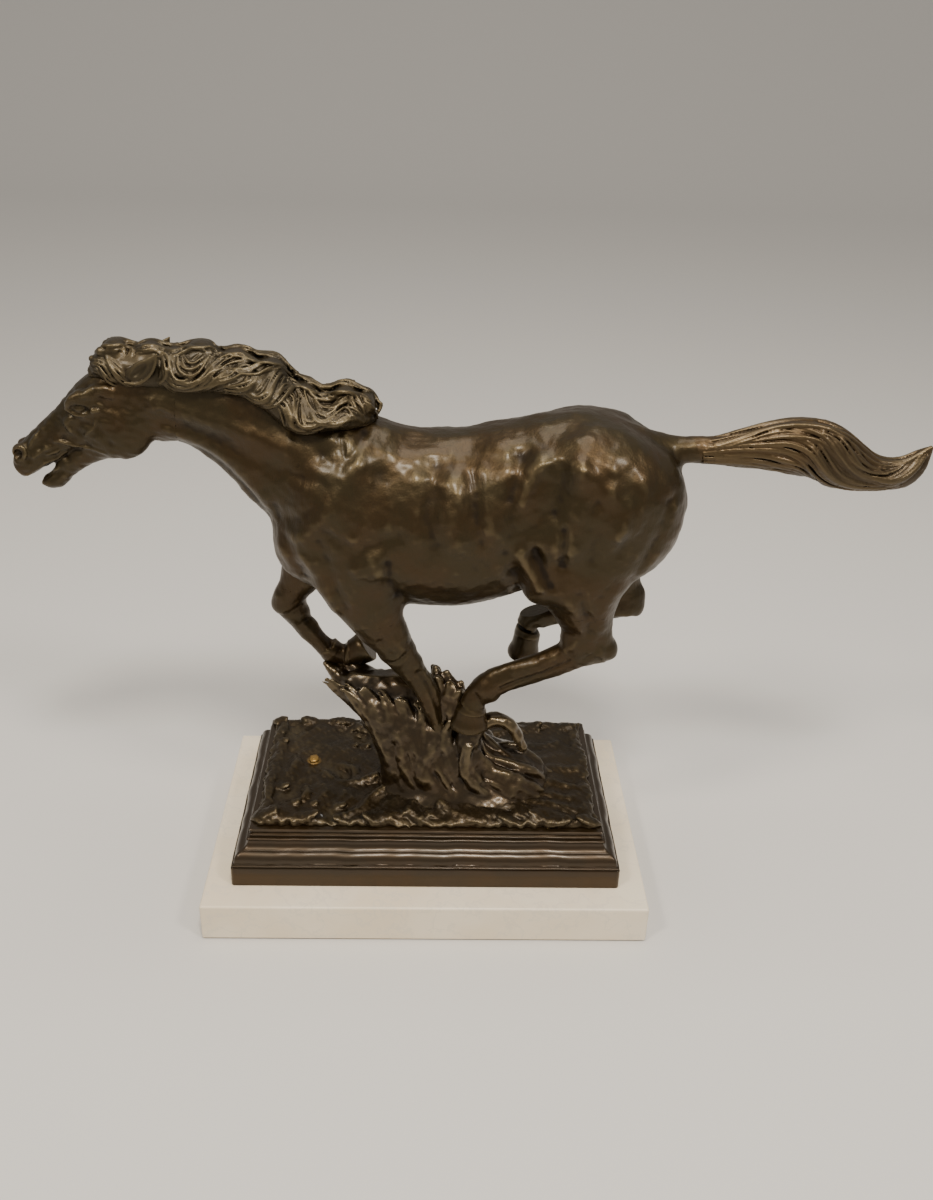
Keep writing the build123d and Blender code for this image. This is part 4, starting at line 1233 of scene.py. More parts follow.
# %% [markdown]
# ## The stump
# Under the belly a blasted tree stump carries the horse.  Its wood runs in ridges that start at broken
# spikes, sweep down and spread into roots.  The trunk is a stack of level ovals, and the ridges are laid
# on it as the hair is, only thicker and rougher.

# %% Stump
TRUNK = [
    # height, x, y, half-length, half-width of a level oval
    (74, 16, -8, 60, 43), (84, 14, -9, 49, 35), (96, 9, -9, 41, 30), (110, 5, -7, 39, 27),
    (128, -4, -3, 40, 23), (142, -15, 3, 43, 19), (151, -22, 6, 43, 14), (157, -28, 7, 36, 10),
    (161, -35, 8, 24, 6),
]
MOUND = [(74, 52, -12, 43, 42), (82, 52, -12, 41, 37), (91, 52, -10, 34, 29), (99, 51, -10, 25, 20),
         (106, 47, -10, 14, 12)]


def level_loft(clay, ovals, soft, rings=40, around=48):
    """A closed tube through level ovals, bottom to top."""
    rows = np.array(ovals, float)
    rows = smooth_through(rows, rows[:, 0], np.linspace(rows[0, 0], rows[-1, 0], rings))
    turn = np.linspace(0, 2 * np.pi, around, endpoint=False)
    points = np.stack([
        rows[:, 1:2] + rows[:, 3:4] * np.cos(turn), rows[:, 2:3] + rows[:, 4:5] * np.sin(turn),
        rows[:, 0:1] + 0 * turn,
    ], -1).reshape(-1, 3)
    ends, quads = tube_faces(rings, around)
    caps = rows[[0, -1]][:, [1, 2, 0]]
    clay.skin(np.concatenate([points, caps]), ends[:, ::-1], quads[:, ::-1], soft)


# The big shoots: path and radii.
SHOOTS = [
    ([(-80, 20, 161), (-70, 16, 153), (-57, 8, 143), (-43, -2, 130), (-33, -12, 114), (-28, -20, 98),
      (-27, -24, 78)], [2.0, 6.5, 9.5, 10, 9, 9, 10]),
    ([(-70, 25, 158), (-56, 20, 155), (-42, 14, 146), (-32, 8, 126), (-26, 0, 108), (-24, -2, 84)],
     [4.5, 7, 9, 10, 10, 12]),
    ([(4, -8, 176), (6, -9, 166), (10, -12, 150)], [1.4, 5.5, 8]),
    ([(13, -9, 172), (15, -10, 162), (15, -14, 148)], [1.8, 6, 8]),
    ([(24, -12, 165), (22, -13, 154), (19, -16, 142)], [1.8, 6, 8]),
    ([(31, -22, 134), (30, -26, 120), (31, -29, 106), (34, -33, 92)], [10, 10, 10, 11]),
    ([(34, -18, 128), (42, -21, 137), (51, -22, 141), (60, -22, 136), (67, -22, 126), (72, -22, 114)],
     [7, 5.5, 5, 4.8, 4.5, 3.5]),
]
# The ridges laid on the trunk's near face, then on its far face: guide, width, number of ridges.
NEAR_RIDGES = [
    ([(-79, 160), (-69, 153), (-58, 145), (-46, 133), (-37, 118), (-32, 101), (-30, 80)], 9, 4),
    ([(-66, 157), (-56, 150), (-46, 138), (-36, 122), (-29, 106), (-25, 90), (-26, 78)], 9, 4),
    ([(-52, 158), (-44, 148), (-38, 136), (-28, 120), (-23, 103), (-18, 88), (-14, 77)], 9, 4),
    ([(-38, 157), (-32, 148), (-28, 134), (-20, 120), (-17, 104), (-9, 90), (-4, 78)], 9, 4),
    ([(-25, 153), (-18, 143), (-16, 130), (-9, 116), (-5, 102), (4, 90), (14, 80)], 9, 4),
    ([(-10, 150), (-4, 141), (-3, 128), (3, 114), (12, 101), (20, 90), (32, 79)], 9, 4),
    ([(2, 156), (6, 146), (8, 132), (4, 120), (0, 108), (-4, 96), (-2, 84)], 8, 4),
    ([(5, 173), (9, 162), (13, 149), (13, 137)], 7, 4),
    ([(14, 170), (16, 160), (17, 148), (16, 137)], 7, 4),
    ([(23, 163), (22, 154), (20, 144), (17, 134)], 7, 3),
    ([(17, 140), (13, 128), (16, 114), (21, 100), (26, 84)], 8, 4),
    ([(31, 126), (28, 114), (30, 102), (38, 92), (50, 82)], 8, 4),
    ([(37, 126), (40, 114), (50, 103), (64, 94), (80, 86)], 9, 4),
    ([(38, 131), (45, 139), (53, 141), (61, 136), (68, 125), (73, 114)], 6, 3),
    ([(50, 106), (60, 103), (72, 96), (84, 88), (95, 78)], 11, 3),
    ([(44, 98), (54, 95), (66, 89), (78, 83), (88, 77)], 10, 3),
]
FAR_RIDGES = [
    ([(-76, 158), (-62, 150), (-50, 136), (-40, 118), (-34, 98), (-34, 78)], 9, 3),
    ([(-58, 156), (-46, 146), (-34, 130), (-24, 110), (-20, 90), (-22, 77)], 9, 3),
    ([(-38, 156), (-28, 144), (-18, 126), (-8, 106), (-4, 88), (-6, 77)], 9, 3),
    ([(-18, 153), (-10, 140), (-2, 122), (8, 104), (14, 88), (16, 77)], 9, 3),
    ([(4, 170), (8, 152), (16, 130), (24, 110), (34, 92), (44, 78)], 9, 3),
    ([(30, 128), (38, 112), (46, 96), (58, 80)], 8, 3),
    ([(40, 130), (49, 136), (58, 134), (66, 124), (71, 114)], 6, 3),
]


def stump():
    """Trunk, mound of earth and shoots, then the ridges of torn wood on both faces."""
    clay = Clay((-92, -68, 74), (124, 58, 184), 1.0)
    level_loft(clay, TRUNK, 4)
    level_loft(clay, MOUND, 12)
    for path, radii in SHOOTS:
        clay.strand(path, radii, 4.0)
    for side, ridges in ((-1, NEAR_RIDGES), (1, FAR_RIDGES)):
        for i, (guide, wide, strands) in enumerate(ridges):
            tress(clay, guide, wide, strands, side, lift=-0.2, thick=1.15, soft=2.4, seed=400 + i, bulge=2.0,
                  ease=24)
    clay.handled(16, 0.40, 21)
    clay.handled(6, 0.10, 22)
    return clay


stump_piece = casting("stump_casting.bark", stump(), fine_reach=2.0, broad_reach=6.0)

# %% [markdown]
# ## The ground
# The ground is modelled wet: it swells towards the stump, is dragged into ripples and breaks into lumps
# along its edges.  It is a slab of clay whose upper side is a height worked out over x and y.

# %% Ground
GROUND_HALF = [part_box("ground_casting")[1][i] / MM for i in (0, 1)]
GROUND_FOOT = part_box("ground_casting")[0][2] / MM - FELT_MM
GROUND_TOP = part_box("ground_casting")[1][2] / MM - FELT_MM
# A lump of earth rubbed down to yellow metal: its middle, where the yellow ends and over how far.
SPOT = (-91, 10)
SPOT_EDGE_MM, SPOT_FADE_MM = 6.0, 2.5
# Ripples dragged over the ground: (x, y, lift) and radii.
DRAGS = [
    ([(40, -44, 4), (62, -48, 2), (84, -52, 0), (104, -60, -1)], [3, 3.2, 3, 2]),
    ([(44, -38, 5), (70, -42, 3), (96, -46, 1), (118, -52, -1)], [3, 3, 2.8, 2]),
    ([(60, -32, 4), (86, -34, 2), (110, -38, 0)], [3, 3, 2]),
    ([(72, -22, 4), (96, -20, 2), (118, -24, 0)], [3, 3, 2]),
    ([(80, -8, 3), (100, -2, 1), (118, 0, 0)], [3.5, 3, 2]),
    ([(10, -46, 3), (18, -54, 1), (30, -60, 0)], [3.5, 3, 2]),
    ([(-10, -46, 2), (-12, -54, 1), (-6, -62, 0)], [3, 3, 2]),
    ([(-34, -30, 3), (-44, -40, 1), (-50, -52, 0), (-62, -58, 0)], [3.5, 3, 2.5, 2]),
    ([(-40, -14, 3), (-56, -20, 1), (-70, -18, -1)], [3.5, 3, 2]),
    ([(-98, -44, 0), (-92, -34, 1), (-94, -26, 0)], [2, 3, 2]),
    ([(-108, -10, 0), (-104, 2, 1.5), (-106, 12, 0)], [2, 3.5, 2]),
    ([(-82, -6, 0.5), (-79, -10, 1.2), (-76, -14, 0.4)], [1.6, 2.2, 1.6]),
    ([(-66, 2, 0), (-58, -4, 1.5), (-56, -14, 0)], [2, 3, 2]),
    ([(60, 16, 3), (84, 26, 1), (106, 34, 0)], [3.5, 3, 2]),
    ([(30, 30, 2), (44, 42, 1), (64, 52, 0)], [3, 3, 2]),
    ([(-24, 28, 2), (-36, 40, 1), (-54, 50, 0)], [3, 3, 2]),
]


def wave_field(x, y, size, seed, waves=12):
    """A smooth chance surface of lumps about size mm across: a sum of sine waves in chance directions."""
    chance = np.random.default_rng(seed)
    total = 0 * (x + y)
    for _ in range(waves):
        turn, phase = chance.uniform(0, 2 * np.pi, 2)
        pace = 2 * np.pi / (size * chance.uniform(0.7, 1.7))
        total = total + np.sin(pace * (x * math.cos(turn) + y * math.sin(turn)) + phase)
    return total * math.sqrt(2 / waves)


def ground():
    """A slab whose top is a chance waviness plus two bell-shaped swells, less a dip along the rim, with
    lumps along its edges and dragged ripples.  Each swell is its height times exp of minus the squared
    distance, measured in its own reach."""
    clay = Clay((-132, -72, 70), (132, 72, 96), 1.0)
    place, (x, y, z) = clay.window(clay.low, clay.low + clay.count * clay.step)
    rough = wave_field(x, y, 38, 31) * 0.9 + wave_field(x, y, 14, 32) * 0.28
    swell = 5.5 * np.exp(-(((x - 24) / 58) ** 2 + ((y + 8) / 40) ** 2) ** 2)
    swell = swell + 5.0 * np.exp(-(((x - 74) / 40) ** 2 + ((y + 6) / 42) ** 2))
    rim = smooth_step((np.maximum(np.abs(x) / GROUND_HALF[0], np.abs(y) / GROUND_HALF[1]) - 0.93) / 0.07)
    height = GROUND_TOP - 1.0 + rough + swell - 1.2 * rim
    half_x = GROUND_HALF[0] - 0.8 + 0.7 * wave_field(0 * x, y, 9, 33)
    half_y = GROUND_HALF[1] - 0.8 + 0.7 * wave_field(x, 0 * y, 9, 34)
    qx, qy = np.abs(x) - half_x + 2, np.abs(y) - half_y + 2
    side = np.hypot(np.maximum(qx, 0), np.maximum(qy, 0)) + np.minimum(np.maximum(qx, qy), 0) - 2
    slab = -press(-np.maximum(GROUND_FOOT - z, side), height - z, 1.5)
    clay.add(place, slab.astype(np.float32), 0.1)
    chance = np.random.default_rng(35)
    for x0 in np.arange(-120, 122, 8.5):
        for y0, sign in ((-GROUND_HALF[1] + 5, -1), (GROUND_HALF[1] - 5, 1)):
            dx, dy, size, turn = chance.uniform((-5, -2, -0.4, -0.5), (5, 10, 1.3, 0.5))
            if size > 0:
                radii = (4.5 + 6 * size, 3.4 + 1.6 * size, 1.2 + 1.1 * size)
                clay.ball((x0 + dx, y0 - sign * dy, GROUND_TOP - 1.3 + 0.5 * size), radii, 3.0, turn)
    for y0 in np.arange(-56, 58, 12):
        for x0 in (-GROUND_HALF[0] + 7, GROUND_HALF[0] - 7):
            dx, dy, size = chance.uniform((-3, -4, 0.1), (4, 4, 1.1))
            clay.ball((x0 + dx, y0 + dy, GROUND_TOP - 1.4 + 0.5 * size), (3.4, 4 + 5 * size, 1 + size), 3.0)
    for x0, y0 in ((-118, 34), (-111, -25), (-102, -46), (-87, -46), (-61, 28), (-51, 28), (-66, -48)):
        clay.ball((x0, y0, GROUND_TOP - 0.7), (5.5, 3.4, 2.0), 2.0, turn=0.4)
    clay.ball((*SPOT, GROUND_TOP - 0.4), (4.0, 5.0, 2.0), 1.5)
    for path, radii in DRAGS:
        clay.strand([(x0, y0, GROUND_TOP + lift - 1.6) for x0, y0, lift in path], radii, 5.0)
    clay.handled(4, 0.16, 36)
    return clay


ground_piece = casting("ground_casting.earth", ground(), fine_reach=2.0, broad_reach=5.0)
earth_points = np.empty(len(ground_piece.data.vertices) * 3, np.float32)
ground_piece.data.vertices.foreach_get("co", earth_points)
from_spot = np.hypot(*(earth_points.reshape(-1, 3)[:, :2] / MM - SPOT).T)
worn = ground_piece.data.attributes.new("worn_spot", "FLOAT", "POINT")
worn.data.foreach_set("value", np.clip((SPOT_EDGE_MM - from_spot) / SPOT_FADE_MM, 0, 1).astype(np.float32))
print("ground's highest point, mm", round(float(earth_points[2::3].max()) / MM, 1))

# %% [markdown]
# ## Legs
# Below the body the legs are bone, tendon and skin.  The knee and hock are blocks with flat faces, the
# cannon has a groove between bone and tendon, the fetlock is a knob, and the hoof a slanted cone that
# flares to its sole, with a soft band where the hair ends.

# %% Legs and hooves
HOOVES = {
    "near_hind": [
        ((23.5, 156), (41, 152), -24.7, 8.8), ((20.5, 152), (42.5, 149), -24.7, 9.8),
        ((18.5, 146), (43.5, 143.5), -24.7, 11), ((15.5, 138.5), (45, 137), -24.7, 12.8),
        ((16, 135.5), (44.5, 134.5), -24.7, 12.4),
    ],
    "off_hind": [
        ((66.5, 194), (83, 189), 26, 8.4), ((65, 188), (84.5, 186), 26, 9.4),
        ((63.5, 180), (84, 178), 26, 10.3), ((60.5, 169.5), (84, 168.5), 26, 11.6),
        ((61.5, 167.2), (83, 166.8), 26, 11.2),
    ],
    "off_fore": [
        ((-66, 157), (-64, 175), 26, 8.2), ((-61, 155), (-63, 177), 26, 9.2),
        ((-54, 157.5), (-60, 180), 26, 10.3), ((-43, 162), (-55.5, 183), 26, 11.4),
        ((-41, 163.5), (-53.5, 183), 26, 11),
    ],
}


def hoof(clay, stations):
    """The horn as a flaring tube with a flat end, and the band above it as the tube's first ring."""
    clay.loft(stations, 1.2, rings=40, around=44)
    band = [(a, b, across, wide + 0.9) for a, b, across, wide in stations[:2]]
    clay.loft(band, 1.6, rings=10, around=44)


def knobs(clay, balls, soft=3.0):
    """The ends of bones at a joint, as ellipsoids: centre and three radii."""
    for x, y, z, rx, ry, rz in balls:
        clay.ball((x, y, z), (rx, ry, rz), soft)


def near_fore(clay):
    """The knee's blocks, and the groove and tendon behind the cannon."""
    knobs(clay, [(-24, -26, 199, 11, 9.5, 8.5), (-14, -24.5, 191, 8.5, 8.4, 7), (-31, -26, 203, 6, 8, 8)], 4)
    clay.stroke([(-16, 206), (-22, 199), (-30, 196)], 1.8, -1.0)
    clay.stroke([(-8, 186), (0, 170), (6, 152), (9, 138)], 1.8, -1.3)
    clay.stroke([(-17, 183), (-9, 166), (-2, 148)], 2.6, 0.8)
    clay.stroke([(-35, 217), (-31, 210), (-26, 204)], 2.6, -0.7)
    clay.stroke([(-26, 217), (-21, 211), (-17, 206)], 2.6, 0.7)


def off_fore(clay):
    """The knee, the fetlock and the hoof, turned back in mid stride."""
    knobs(clay, [(-107, 27, 210, 12, 9.8, 9), (-101, 27, 203, 9.5, 9, 7)], 4)
    knobs(clay, [(-75, 26.4, 167, 8, 8, 8.6)], 3)
    clay.stroke([(-94, 198), (-84, 186), (-76, 176)], 1.8, -1.2)
    clay.stroke([(-113, 203), (-104, 208), (-98, 212)], 1.8, -0.8)
    hoof(clay, HOOVES["off_fore"])
    clay.ball((-43, 26, 176), (7.5, 8.2, 4.0), 0.8, turn=-0.98, cut=True)


def near_hind(clay):
    """The hock's blocks and point, the tendon's groove, the fetlock and the hoof."""
    hock = [(128, -28.3, 207, 7, 8, 8), (104, -29, 214, 10, 9.4, 11), (113, -28.6, 208, 13, 8.6, 10)]
    knobs(clay, hock, 5)
    knobs(clay, [(41, -25.5, 171, 8.5, 8.8, 8.5), (46, -25.5, 165, 6, 7, 6)], 3)
    clay.stroke([(100, 200), (84, 190), (66, 182), (52, 175)], 1.8, -1.3)
    clay.stroke([(96, 207), (80, 197), (62, 189)], 3.0, 0.8)
    clay.stroke([(119, 217), (117, 210), (110, 203)], 2.4, -0.8)
    clay.stroke([(103, 219), (101, 215), (96, 210)], 2.4, 0.9)
    clay.stroke([(34, 168), (38, 160), (42, 156)], 1.8, -1.0)
    hoof(clay, HOOVES["near_hind"])


def off_hind(clay):
    """The hock, the fetlock and the hoof that trails behind."""
    knobs(clay, [(156, 29.6, 211, 7, 8, 8), (138, 29.6, 213, 12, 9, 9)], 5)
    knobs(clay, [(79, 26.5, 203, 8.5, 8.8, 8.6)], 3)
    clay.stroke([(132, 207), (114, 205), (96, 205)], 1.8, -1.2)
    hoof(clay, HOOVES["off_hind"])


# What each body casting takes: block corners, step, its own details, its cuts and a point that it holds.
EVERYWHERE = ((-400, -200, 0), (400, 200, 500))
BODY_CASTINGS = {
    "torso_casting": (
        ((-122.4, -62.4, 207.6), (196, 62, 392), 1.2), None,
        [
            beyond(NECK_SEAM, (-150, -70, 270), (-30, 70, 440)),
            beyond(TAIL_SEAM, (165, -30, 325), (210, 30, 375)),
            beyond(NEAR_FORE_SEAM, (-80, -60, 200), (-6, -6, 245)),
            beyond(OFF_FORE_SEAM, (-135, 2, 200), (-60, 70, 250)),
            beyond(NEAR_HIND_SEAM, (60, -70, 200), (150, -6, 252)),
            beyond(OFF_HIND_SEAM, (90, 6, 200), (180, 70, 245)),
        ],
        (20, -50, 300),
    ),
    "neck_casting": (
        ((-190.8, -48, 261.6), (-58, 48, 416), 1.2), poll,
        [
            beyond(HEAD_SEAM, (-200, -60, 300), (-140, 60, 430)),
            before(NECK_SEAM, (-150, -70, 240), (-30, 70, 440)),
        ],
        (-140, -20, 370),
    ),
    "near_fore_leg_casting": (
        ((-78, -54, 108), (24, -2, 248), 0.8), near_fore,
        [before(NEAR_FORE_SEAM, *EVERYWHERE)], (-10, -30, 170),
    ),
    "off_fore_leg_casting": (
        ((-128, 4, 146), (-34, 50, 248), 0.8), off_fore,
        [before(OFF_FORE_SEAM, *EVERYWHERE)], (-90, 20, 185),
    ),
    "near_hind_leg_casting": (
        ((8, -56, 128), (146, -6, 262), 0.8), near_hind,
        [before(NEAR_HIND_SEAM, *EVERYWHERE)], (80, -34, 194),
    ),
    "off_hind_leg_casting": (
        ((54, 6, 160), (176, 56, 250), 0.8), off_hind,
        [before(OFF_HIND_SEAM, *EVERYWHERE)], (100, 22, 204),
    ),
}
body_pieces = {}
for node, (block, details, cuts, seed) in BODY_CASTINGS.items():
    clay = Clay(*block)
    masses(clay)
    if details:
        details(clay)
    piece = casting(node + ".skin", clay)
    trimmed(piece, cuts, seed)
    body_pieces[node] = piece

# %% [markdown]
# ## The base
# The base is a box of thin bronze with a moulded outside: a plain band, a swelling ogee, a bead and a
# quiet neck.  Its profile is carried round a rounded rectangle.  A founder's wax is never quite straight,
# so the moulding wavers by a fraction of a millimetre, which is what makes its reflections run.

# %% Base moulding
BASE_LOW, BASE_HIGH = (np.array(corner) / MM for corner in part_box("base_casting"))
BASE_FOOT_Z = BASE_LOW[2] - FELT_MM
WALL, SEAT_FLANGE, SEAT_INSET, BASE_CORNER = 4.0, 14.0, 14, 2.5
SHOULDER_RADIUS, SHOULDER_TURN = 8, 62                 # the ogee's round part, in mm and degrees
SHOULDER_FOOT, HOLLOW_TOP = (1.8, 19.5), (11.8, 33.2)  # inset and height


def moulding_profile():
    """(inset, height, waver) round the wall's section: up the outside, over the seat and down inside."""
    shoulder = np.radians(np.linspace(0, SHOULDER_TURN, 11))
    hollow = np.radians(np.linspace(0, 90, 11)[1:])
    bead = np.linspace(-np.pi / 2, np.pi / 2, 7)
    round_d = SHOULDER_FOOT[0] + SHOULDER_RADIUS * (1 - np.cos(shoulder))
    round_z = SHOULDER_FOOT[1] + SHOULDER_RADIUS * np.sin(shoulder)
    hollow_d = round_d[-1] + (HOLLOW_TOP[0] - round_d[-1]) * np.sin(hollow)
    hollow_z = round_z[-1] + (HOLLOW_TOP[1] - round_z[-1]) * (1 - np.cos(hollow))
    tall = BASE_HIGH[2] - BASE_LOW[2]
    outside = [
        (0.4, 0, 0), (0, 0.4, 0), (0, 8, 0.2), (0, 15.6, 0.2),
        (0.5, 16.3, 0.15), (1.3, 16.5, 0.15), (1.3, 17.0, 0.15),
        *((0.9 - 0.5 * c, 17.6 + 0.6 * s, 0.3) for c, s in zip(np.cos(bead), np.sin(bead))),
        (1.8, 18.4, 0.3), (1.9, 19.3, 0.5),
        *((d, z, 1.0) for d, z in zip(round_d, round_z)), *((d, z, 0.8) for d, z in zip(hollow_d, hollow_z)),
        *((11.7 - 0.9 * c, 34.4 + 0.9 * s, 0.7) for c, s in zip(np.cos(bead), np.sin(bead))),
        (13.6, 35.6, 0.4), (13.7, 36.4, 0.4),
        *((13.5 - 0.5 * c, 37.1 + 0.6 * s, 0.4) for c, s in zip(np.cos(bead), np.sin(bead))),
        (14.7, 38.4, 0.3), (14.5, 40.0, 0.3), (13.3, 40.7, 0.3), (13.3, tall - 0.5, 0.2), (13.8, tall, 0.1),
    ]
    inner = SEAT_INSET + WALL
    seat = [(inner + SEAT_FLANGE, tall, 0), (inner + SEAT_FLANGE, tall - WALL, 0)]
    inside = [(inner, tall - WALL, 0), (inner, 0, 0)]
    return np.array(outside + seat + inside)


def rectangle_walk(corner_points=9, side_points=90):
    """Steps round a rounded rectangle, as rows of the corner's signs in x and y, the outward normal, and
    how far along the straight side after that corner, from 0 to 1.  Any inset keeps the corners round."""
    stops = []
    for k, (sx, sy) in enumerate(((1, -1), (1, 1), (-1, 1), (-1, -1))):
        for turn in np.linspace(0, np.pi / 2, corner_points):
            angle = -np.pi / 2 + k * np.pi / 2 + turn
            stops.append((sx, sy, math.cos(angle), math.sin(angle), 0.0))
        angle = k * np.pi / 2
        for part in np.linspace(0, 1, side_points + 2)[1:-1]:
            stops.append((sx, sy, math.cos(angle), math.sin(angle), part))
    return np.array(stops)


def ring_faces(rings, around):
    """Quads of a grid of points that closes both ways."""
    i, j = np.meshgrid(np.arange(rings), np.arange(around), indexing="ij")
    i2, j2 = (i + 1) % rings, (j + 1) % around
    corners = [i * around + j, i * around + j2, i2 * around + j2, i2 * around + j]
    return np.stack(corners, -1).reshape(-1, 4)


def base_shell():
    """The profile's loop carried round the rectangle's loop: a closed ring like a picture frame."""
    profile, walk = moulding_profile(), rectangle_walk()
    half = BASE_HIGH[:2]
    radius = np.maximum(BASE_CORNER - 0.05 * profile[:, 0], 1.2)
    core = half[None] - profile[:, :1] - radius[:, None]
    sx, sy, nx, ny, part = walk.T
    next_sign = {(1, -1): (1, 1), (1, 1): (-1, 1), (-1, 1): (-1, -1), (-1, -1): (1, -1)}
    ahead = np.array([next_sign[(int(a), int(b))] for a, b in zip(sx, sy)])
    cx = core[:, :1] * (sx + (ahead[:, 0] - sx) * part)
    cy = core[:, 1:] * (sy + (ahead[:, 1] - sy) * part)
    along = np.cumsum(np.concatenate([[0], np.hypot(np.diff(cx[0]), np.diff(cy[0]))]))
    waver = 0.22 * np.sin(along / 9.1) + 0.18 * np.sin(along / 5.3 + 2) + 0.10 * np.sin(along / 2.9 + 1)
    fade = np.minimum(1, np.minimum(part, 1 - part) * 12) * (part > 0)
    out = radius[:, None] + profile[:, 2:] * 1.5 * (waver * fade)[None] - profile[:, 2:] * 0.5
    x, y = cx + nx * out, cy + ny * out
    z = BASE_FOOT_Z + profile[:, 1:2] + 0 * x
    return np.stack([x, y, z], -1).reshape(-1, 3), ring_faces(len(profile), len(walk))


BORE_DEPTH, AXIS_GAP = 20, 0.02


def boss(x, y, outer, bore, low, high, around=40):
    """A post with a blind hole from below: a profile of six corners turned about its axis."""
    top = low + BORE_DEPTH
    profile = np.array([
        (bore, low), (outer, low), (outer, high), (AXIS_GAP, high), (AXIS_GAP, top), (bore, top),
    ])
    turn = np.linspace(0, 2 * np.pi, around, endpoint=False)
    r, z = profile[:, :1], profile[:, 1:]
    points = np.stack([x + r * np.cos(turn), y + r * np.sin(turn), z + 0 * turn], -1).reshape(-1, 3)
    return points, ring_faces(len(profile), around)


def joined(parts):
    """Several (points, quads) as one."""
    starts = np.cumsum([0] + [len(points) for points, _ in parts[:-1]])
    return (np.concatenate([points for points, _ in parts]),
            np.concatenate([quads + start for (_, quads), start in zip(parts, starts)]))


_, bolt_high = (np.array(corner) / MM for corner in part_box("plinth_bolts"))
bolt_x, bolt_y = bolt_high[0] - 5.8, bolt_high[1] - 5.0
posts = [boss(sx * bolt_x, sy * bolt_y, 8, 3, BASE_FOOT_Z, BASE_HIGH[2] - FELT_MM - WALL)
         for sx in (-1, 1) for sy in (-1, 1)]
points, quads = joined([base_shell(), *posts])
# The moulding counts as a little proud below its neck and a little sunk above, and the posts as neither.
NECK_HEIGHT = 36
by_height = np.where(moulding_profile()[:, 1] < NECK_HEIGHT, 0.1, -0.1)
shell_proud = np.repeat(by_height, len(rectangle_walk()))
base_piece = new_object("base_casting.moulding", points, quads, {
    "proud": np.concatenate([shell_proud, np.zeros(len(points) - len(shell_proud))]),
    "broad": np.zeros(len(points)),
})
SHARP_ANGLE = math.radians(38)
edges_sharp = bmesh.new()
edges_sharp.from_mesh(base_piece.data)
for edge in edges_sharp.edges:
    if edge.calc_face_angle(0) > SHARP_ANGLE:
        edge.smooth = False
print("base volume, litres", round(edges_sharp.calc_volume(signed=True) * 1000, 3))
edges_sharp.to_mesh(base_piece.data)
edges_sharp.free()

# %% [markdown]
# ## Finishes for the other pieces
# The plinth is a warm white marble, polished, with faint grey veins.  Under it is green-grey wool felt,
# and the hidden fasteners are plain steel and bronze rod.

# %% Marble, felt, steel and rod
def marble_finish():
    """Warm white clouds.  A vein lies where a noise is within 0.03 of its middle value."""
    finish = Finish("polished marble", IOR=1.5)
    cloud = finish.noise(60, 4)
    drift = finish.noise(28, 5, 0.6, turn=(0.4, 0.3, 0.8))
    off_middle = drift - 0.5
    vein = off_middle.math("ABSOLUTE", off_middle).between(0.0, 0.030)
    grain = finish.noise(2.0, 3, 0.6)
    colour = finish.mix((0.76, 0.645, 0.475), (0.80, 0.70, 0.545), cloud.between(0.35, 0.65))
    colour = finish.mix((0.66, 0.58, 0.47), colour, vein * 0.5 + 0.5)
    colour = finish.mix(colour, (0.70, 0.65, 0.56), grain.between(0.60, 0.80) * 0.25)
    finish.feed("Base Color", colour)
    finish.feed("Roughness", 0.30 + grain * 0.15)
    finish.bump(grain, 0.03)
    return finish.material


def felt_finish():
    """Matted fibres in two greens, with tufts and a little sheen."""
    finish = Finish("wool felt", Roughness=0.95)
    fibre = finish.noise(0.8, 3, 0.7, stretch=(3, 1, 1))
    tuft = finish.noise(6, 3, 0.6)
    green = finish.mix((0.030, 0.045, 0.032), (0.065, 0.085, 0.060), fibre * 0.6 + tuft * 0.4)
    finish.feed("Base Color", green)
    finish.bump(fibre, 0.25)
    finish.shader.inputs["Sheen Weight"].default_value = 0.35
    return finish.material


def metal_finish(name, dark, pale, roughness):
    """Plain metal with the long marks of drawing through a die."""
    finish = Finish(name, Metallic=1.0)
    drawn = finish.noise(1.2, 3, 0.6, stretch=(1, 1, 9))
    cloud = finish.noise(9, 3)
    finish.feed("Base Color", finish.mix(dark, pale, drawn * 0.5 + cloud * 0.5))
    finish.feed("Roughness", roughness + drawn * 0.15)
    finish.bump(drawn, 0.02)
    return finish.material


steel = metal_finish("zinc steel", (0.38, 0.39, 0.40), (0.62, 0.63, 0.64), 0.28)
rod = metal_finish("bronze rod", (0.50, 0.33, 0.15), (0.66, 0.47, 0.24), 0.30)
marble, felt = marble_finish(), felt_finish()
OTHER_FINISHES = {
    "marble_plinth": marble, "felt_sheet": felt,
    "plinth_bolts": steel, "plinth_washers": steel, "ground_screws": steel, "stump_bolts": steel,
}

# %% [markdown]
# ## Which casting each piece stands for
# Each modelled piece takes the place of the casting of the same name and moves with the one rigid body.
# The slab, the felt and the hidden fixings keep their own plain shapes and only get a finish.

# %% Every piece rides, and stands for its casting
PIECES = {
    "mane_casting": (mane_piece, hair_bronze), "tail_casting": (tail_piece, tail_bronze),
    "head_casting": (head_piece, bronze), "stump_casting": (stump_piece, bark_bronze),
    "ground_casting": (ground_piece, earth_bronze), "base_casting": (base_piece, base_bronze),
    **{node: (piece, bronze) for node, piece in body_pieces.items()},
}
for node, (piece, finish) in PIECES.items():
    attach(piece, "root")
    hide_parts(node)
    piece.data.materials.append(finish)
for node in frame["nodes"].values():
    if node.name not in PIECES:
        node.data.materials.clear()
        node.data.materials.append(OTHER_FINISHES.get(node.name, rod))

# %% [markdown]
# ## The table and the lamps
# The statue stands on pale paper that curves up behind it, so no edge shows.  Three small lamps in front
# draw the bright lines along the muscles, and a wide one above fills the shadows.

# %% Floor and light
FLOOR_BACK, FLOOR_CURVE = 3, 0.35


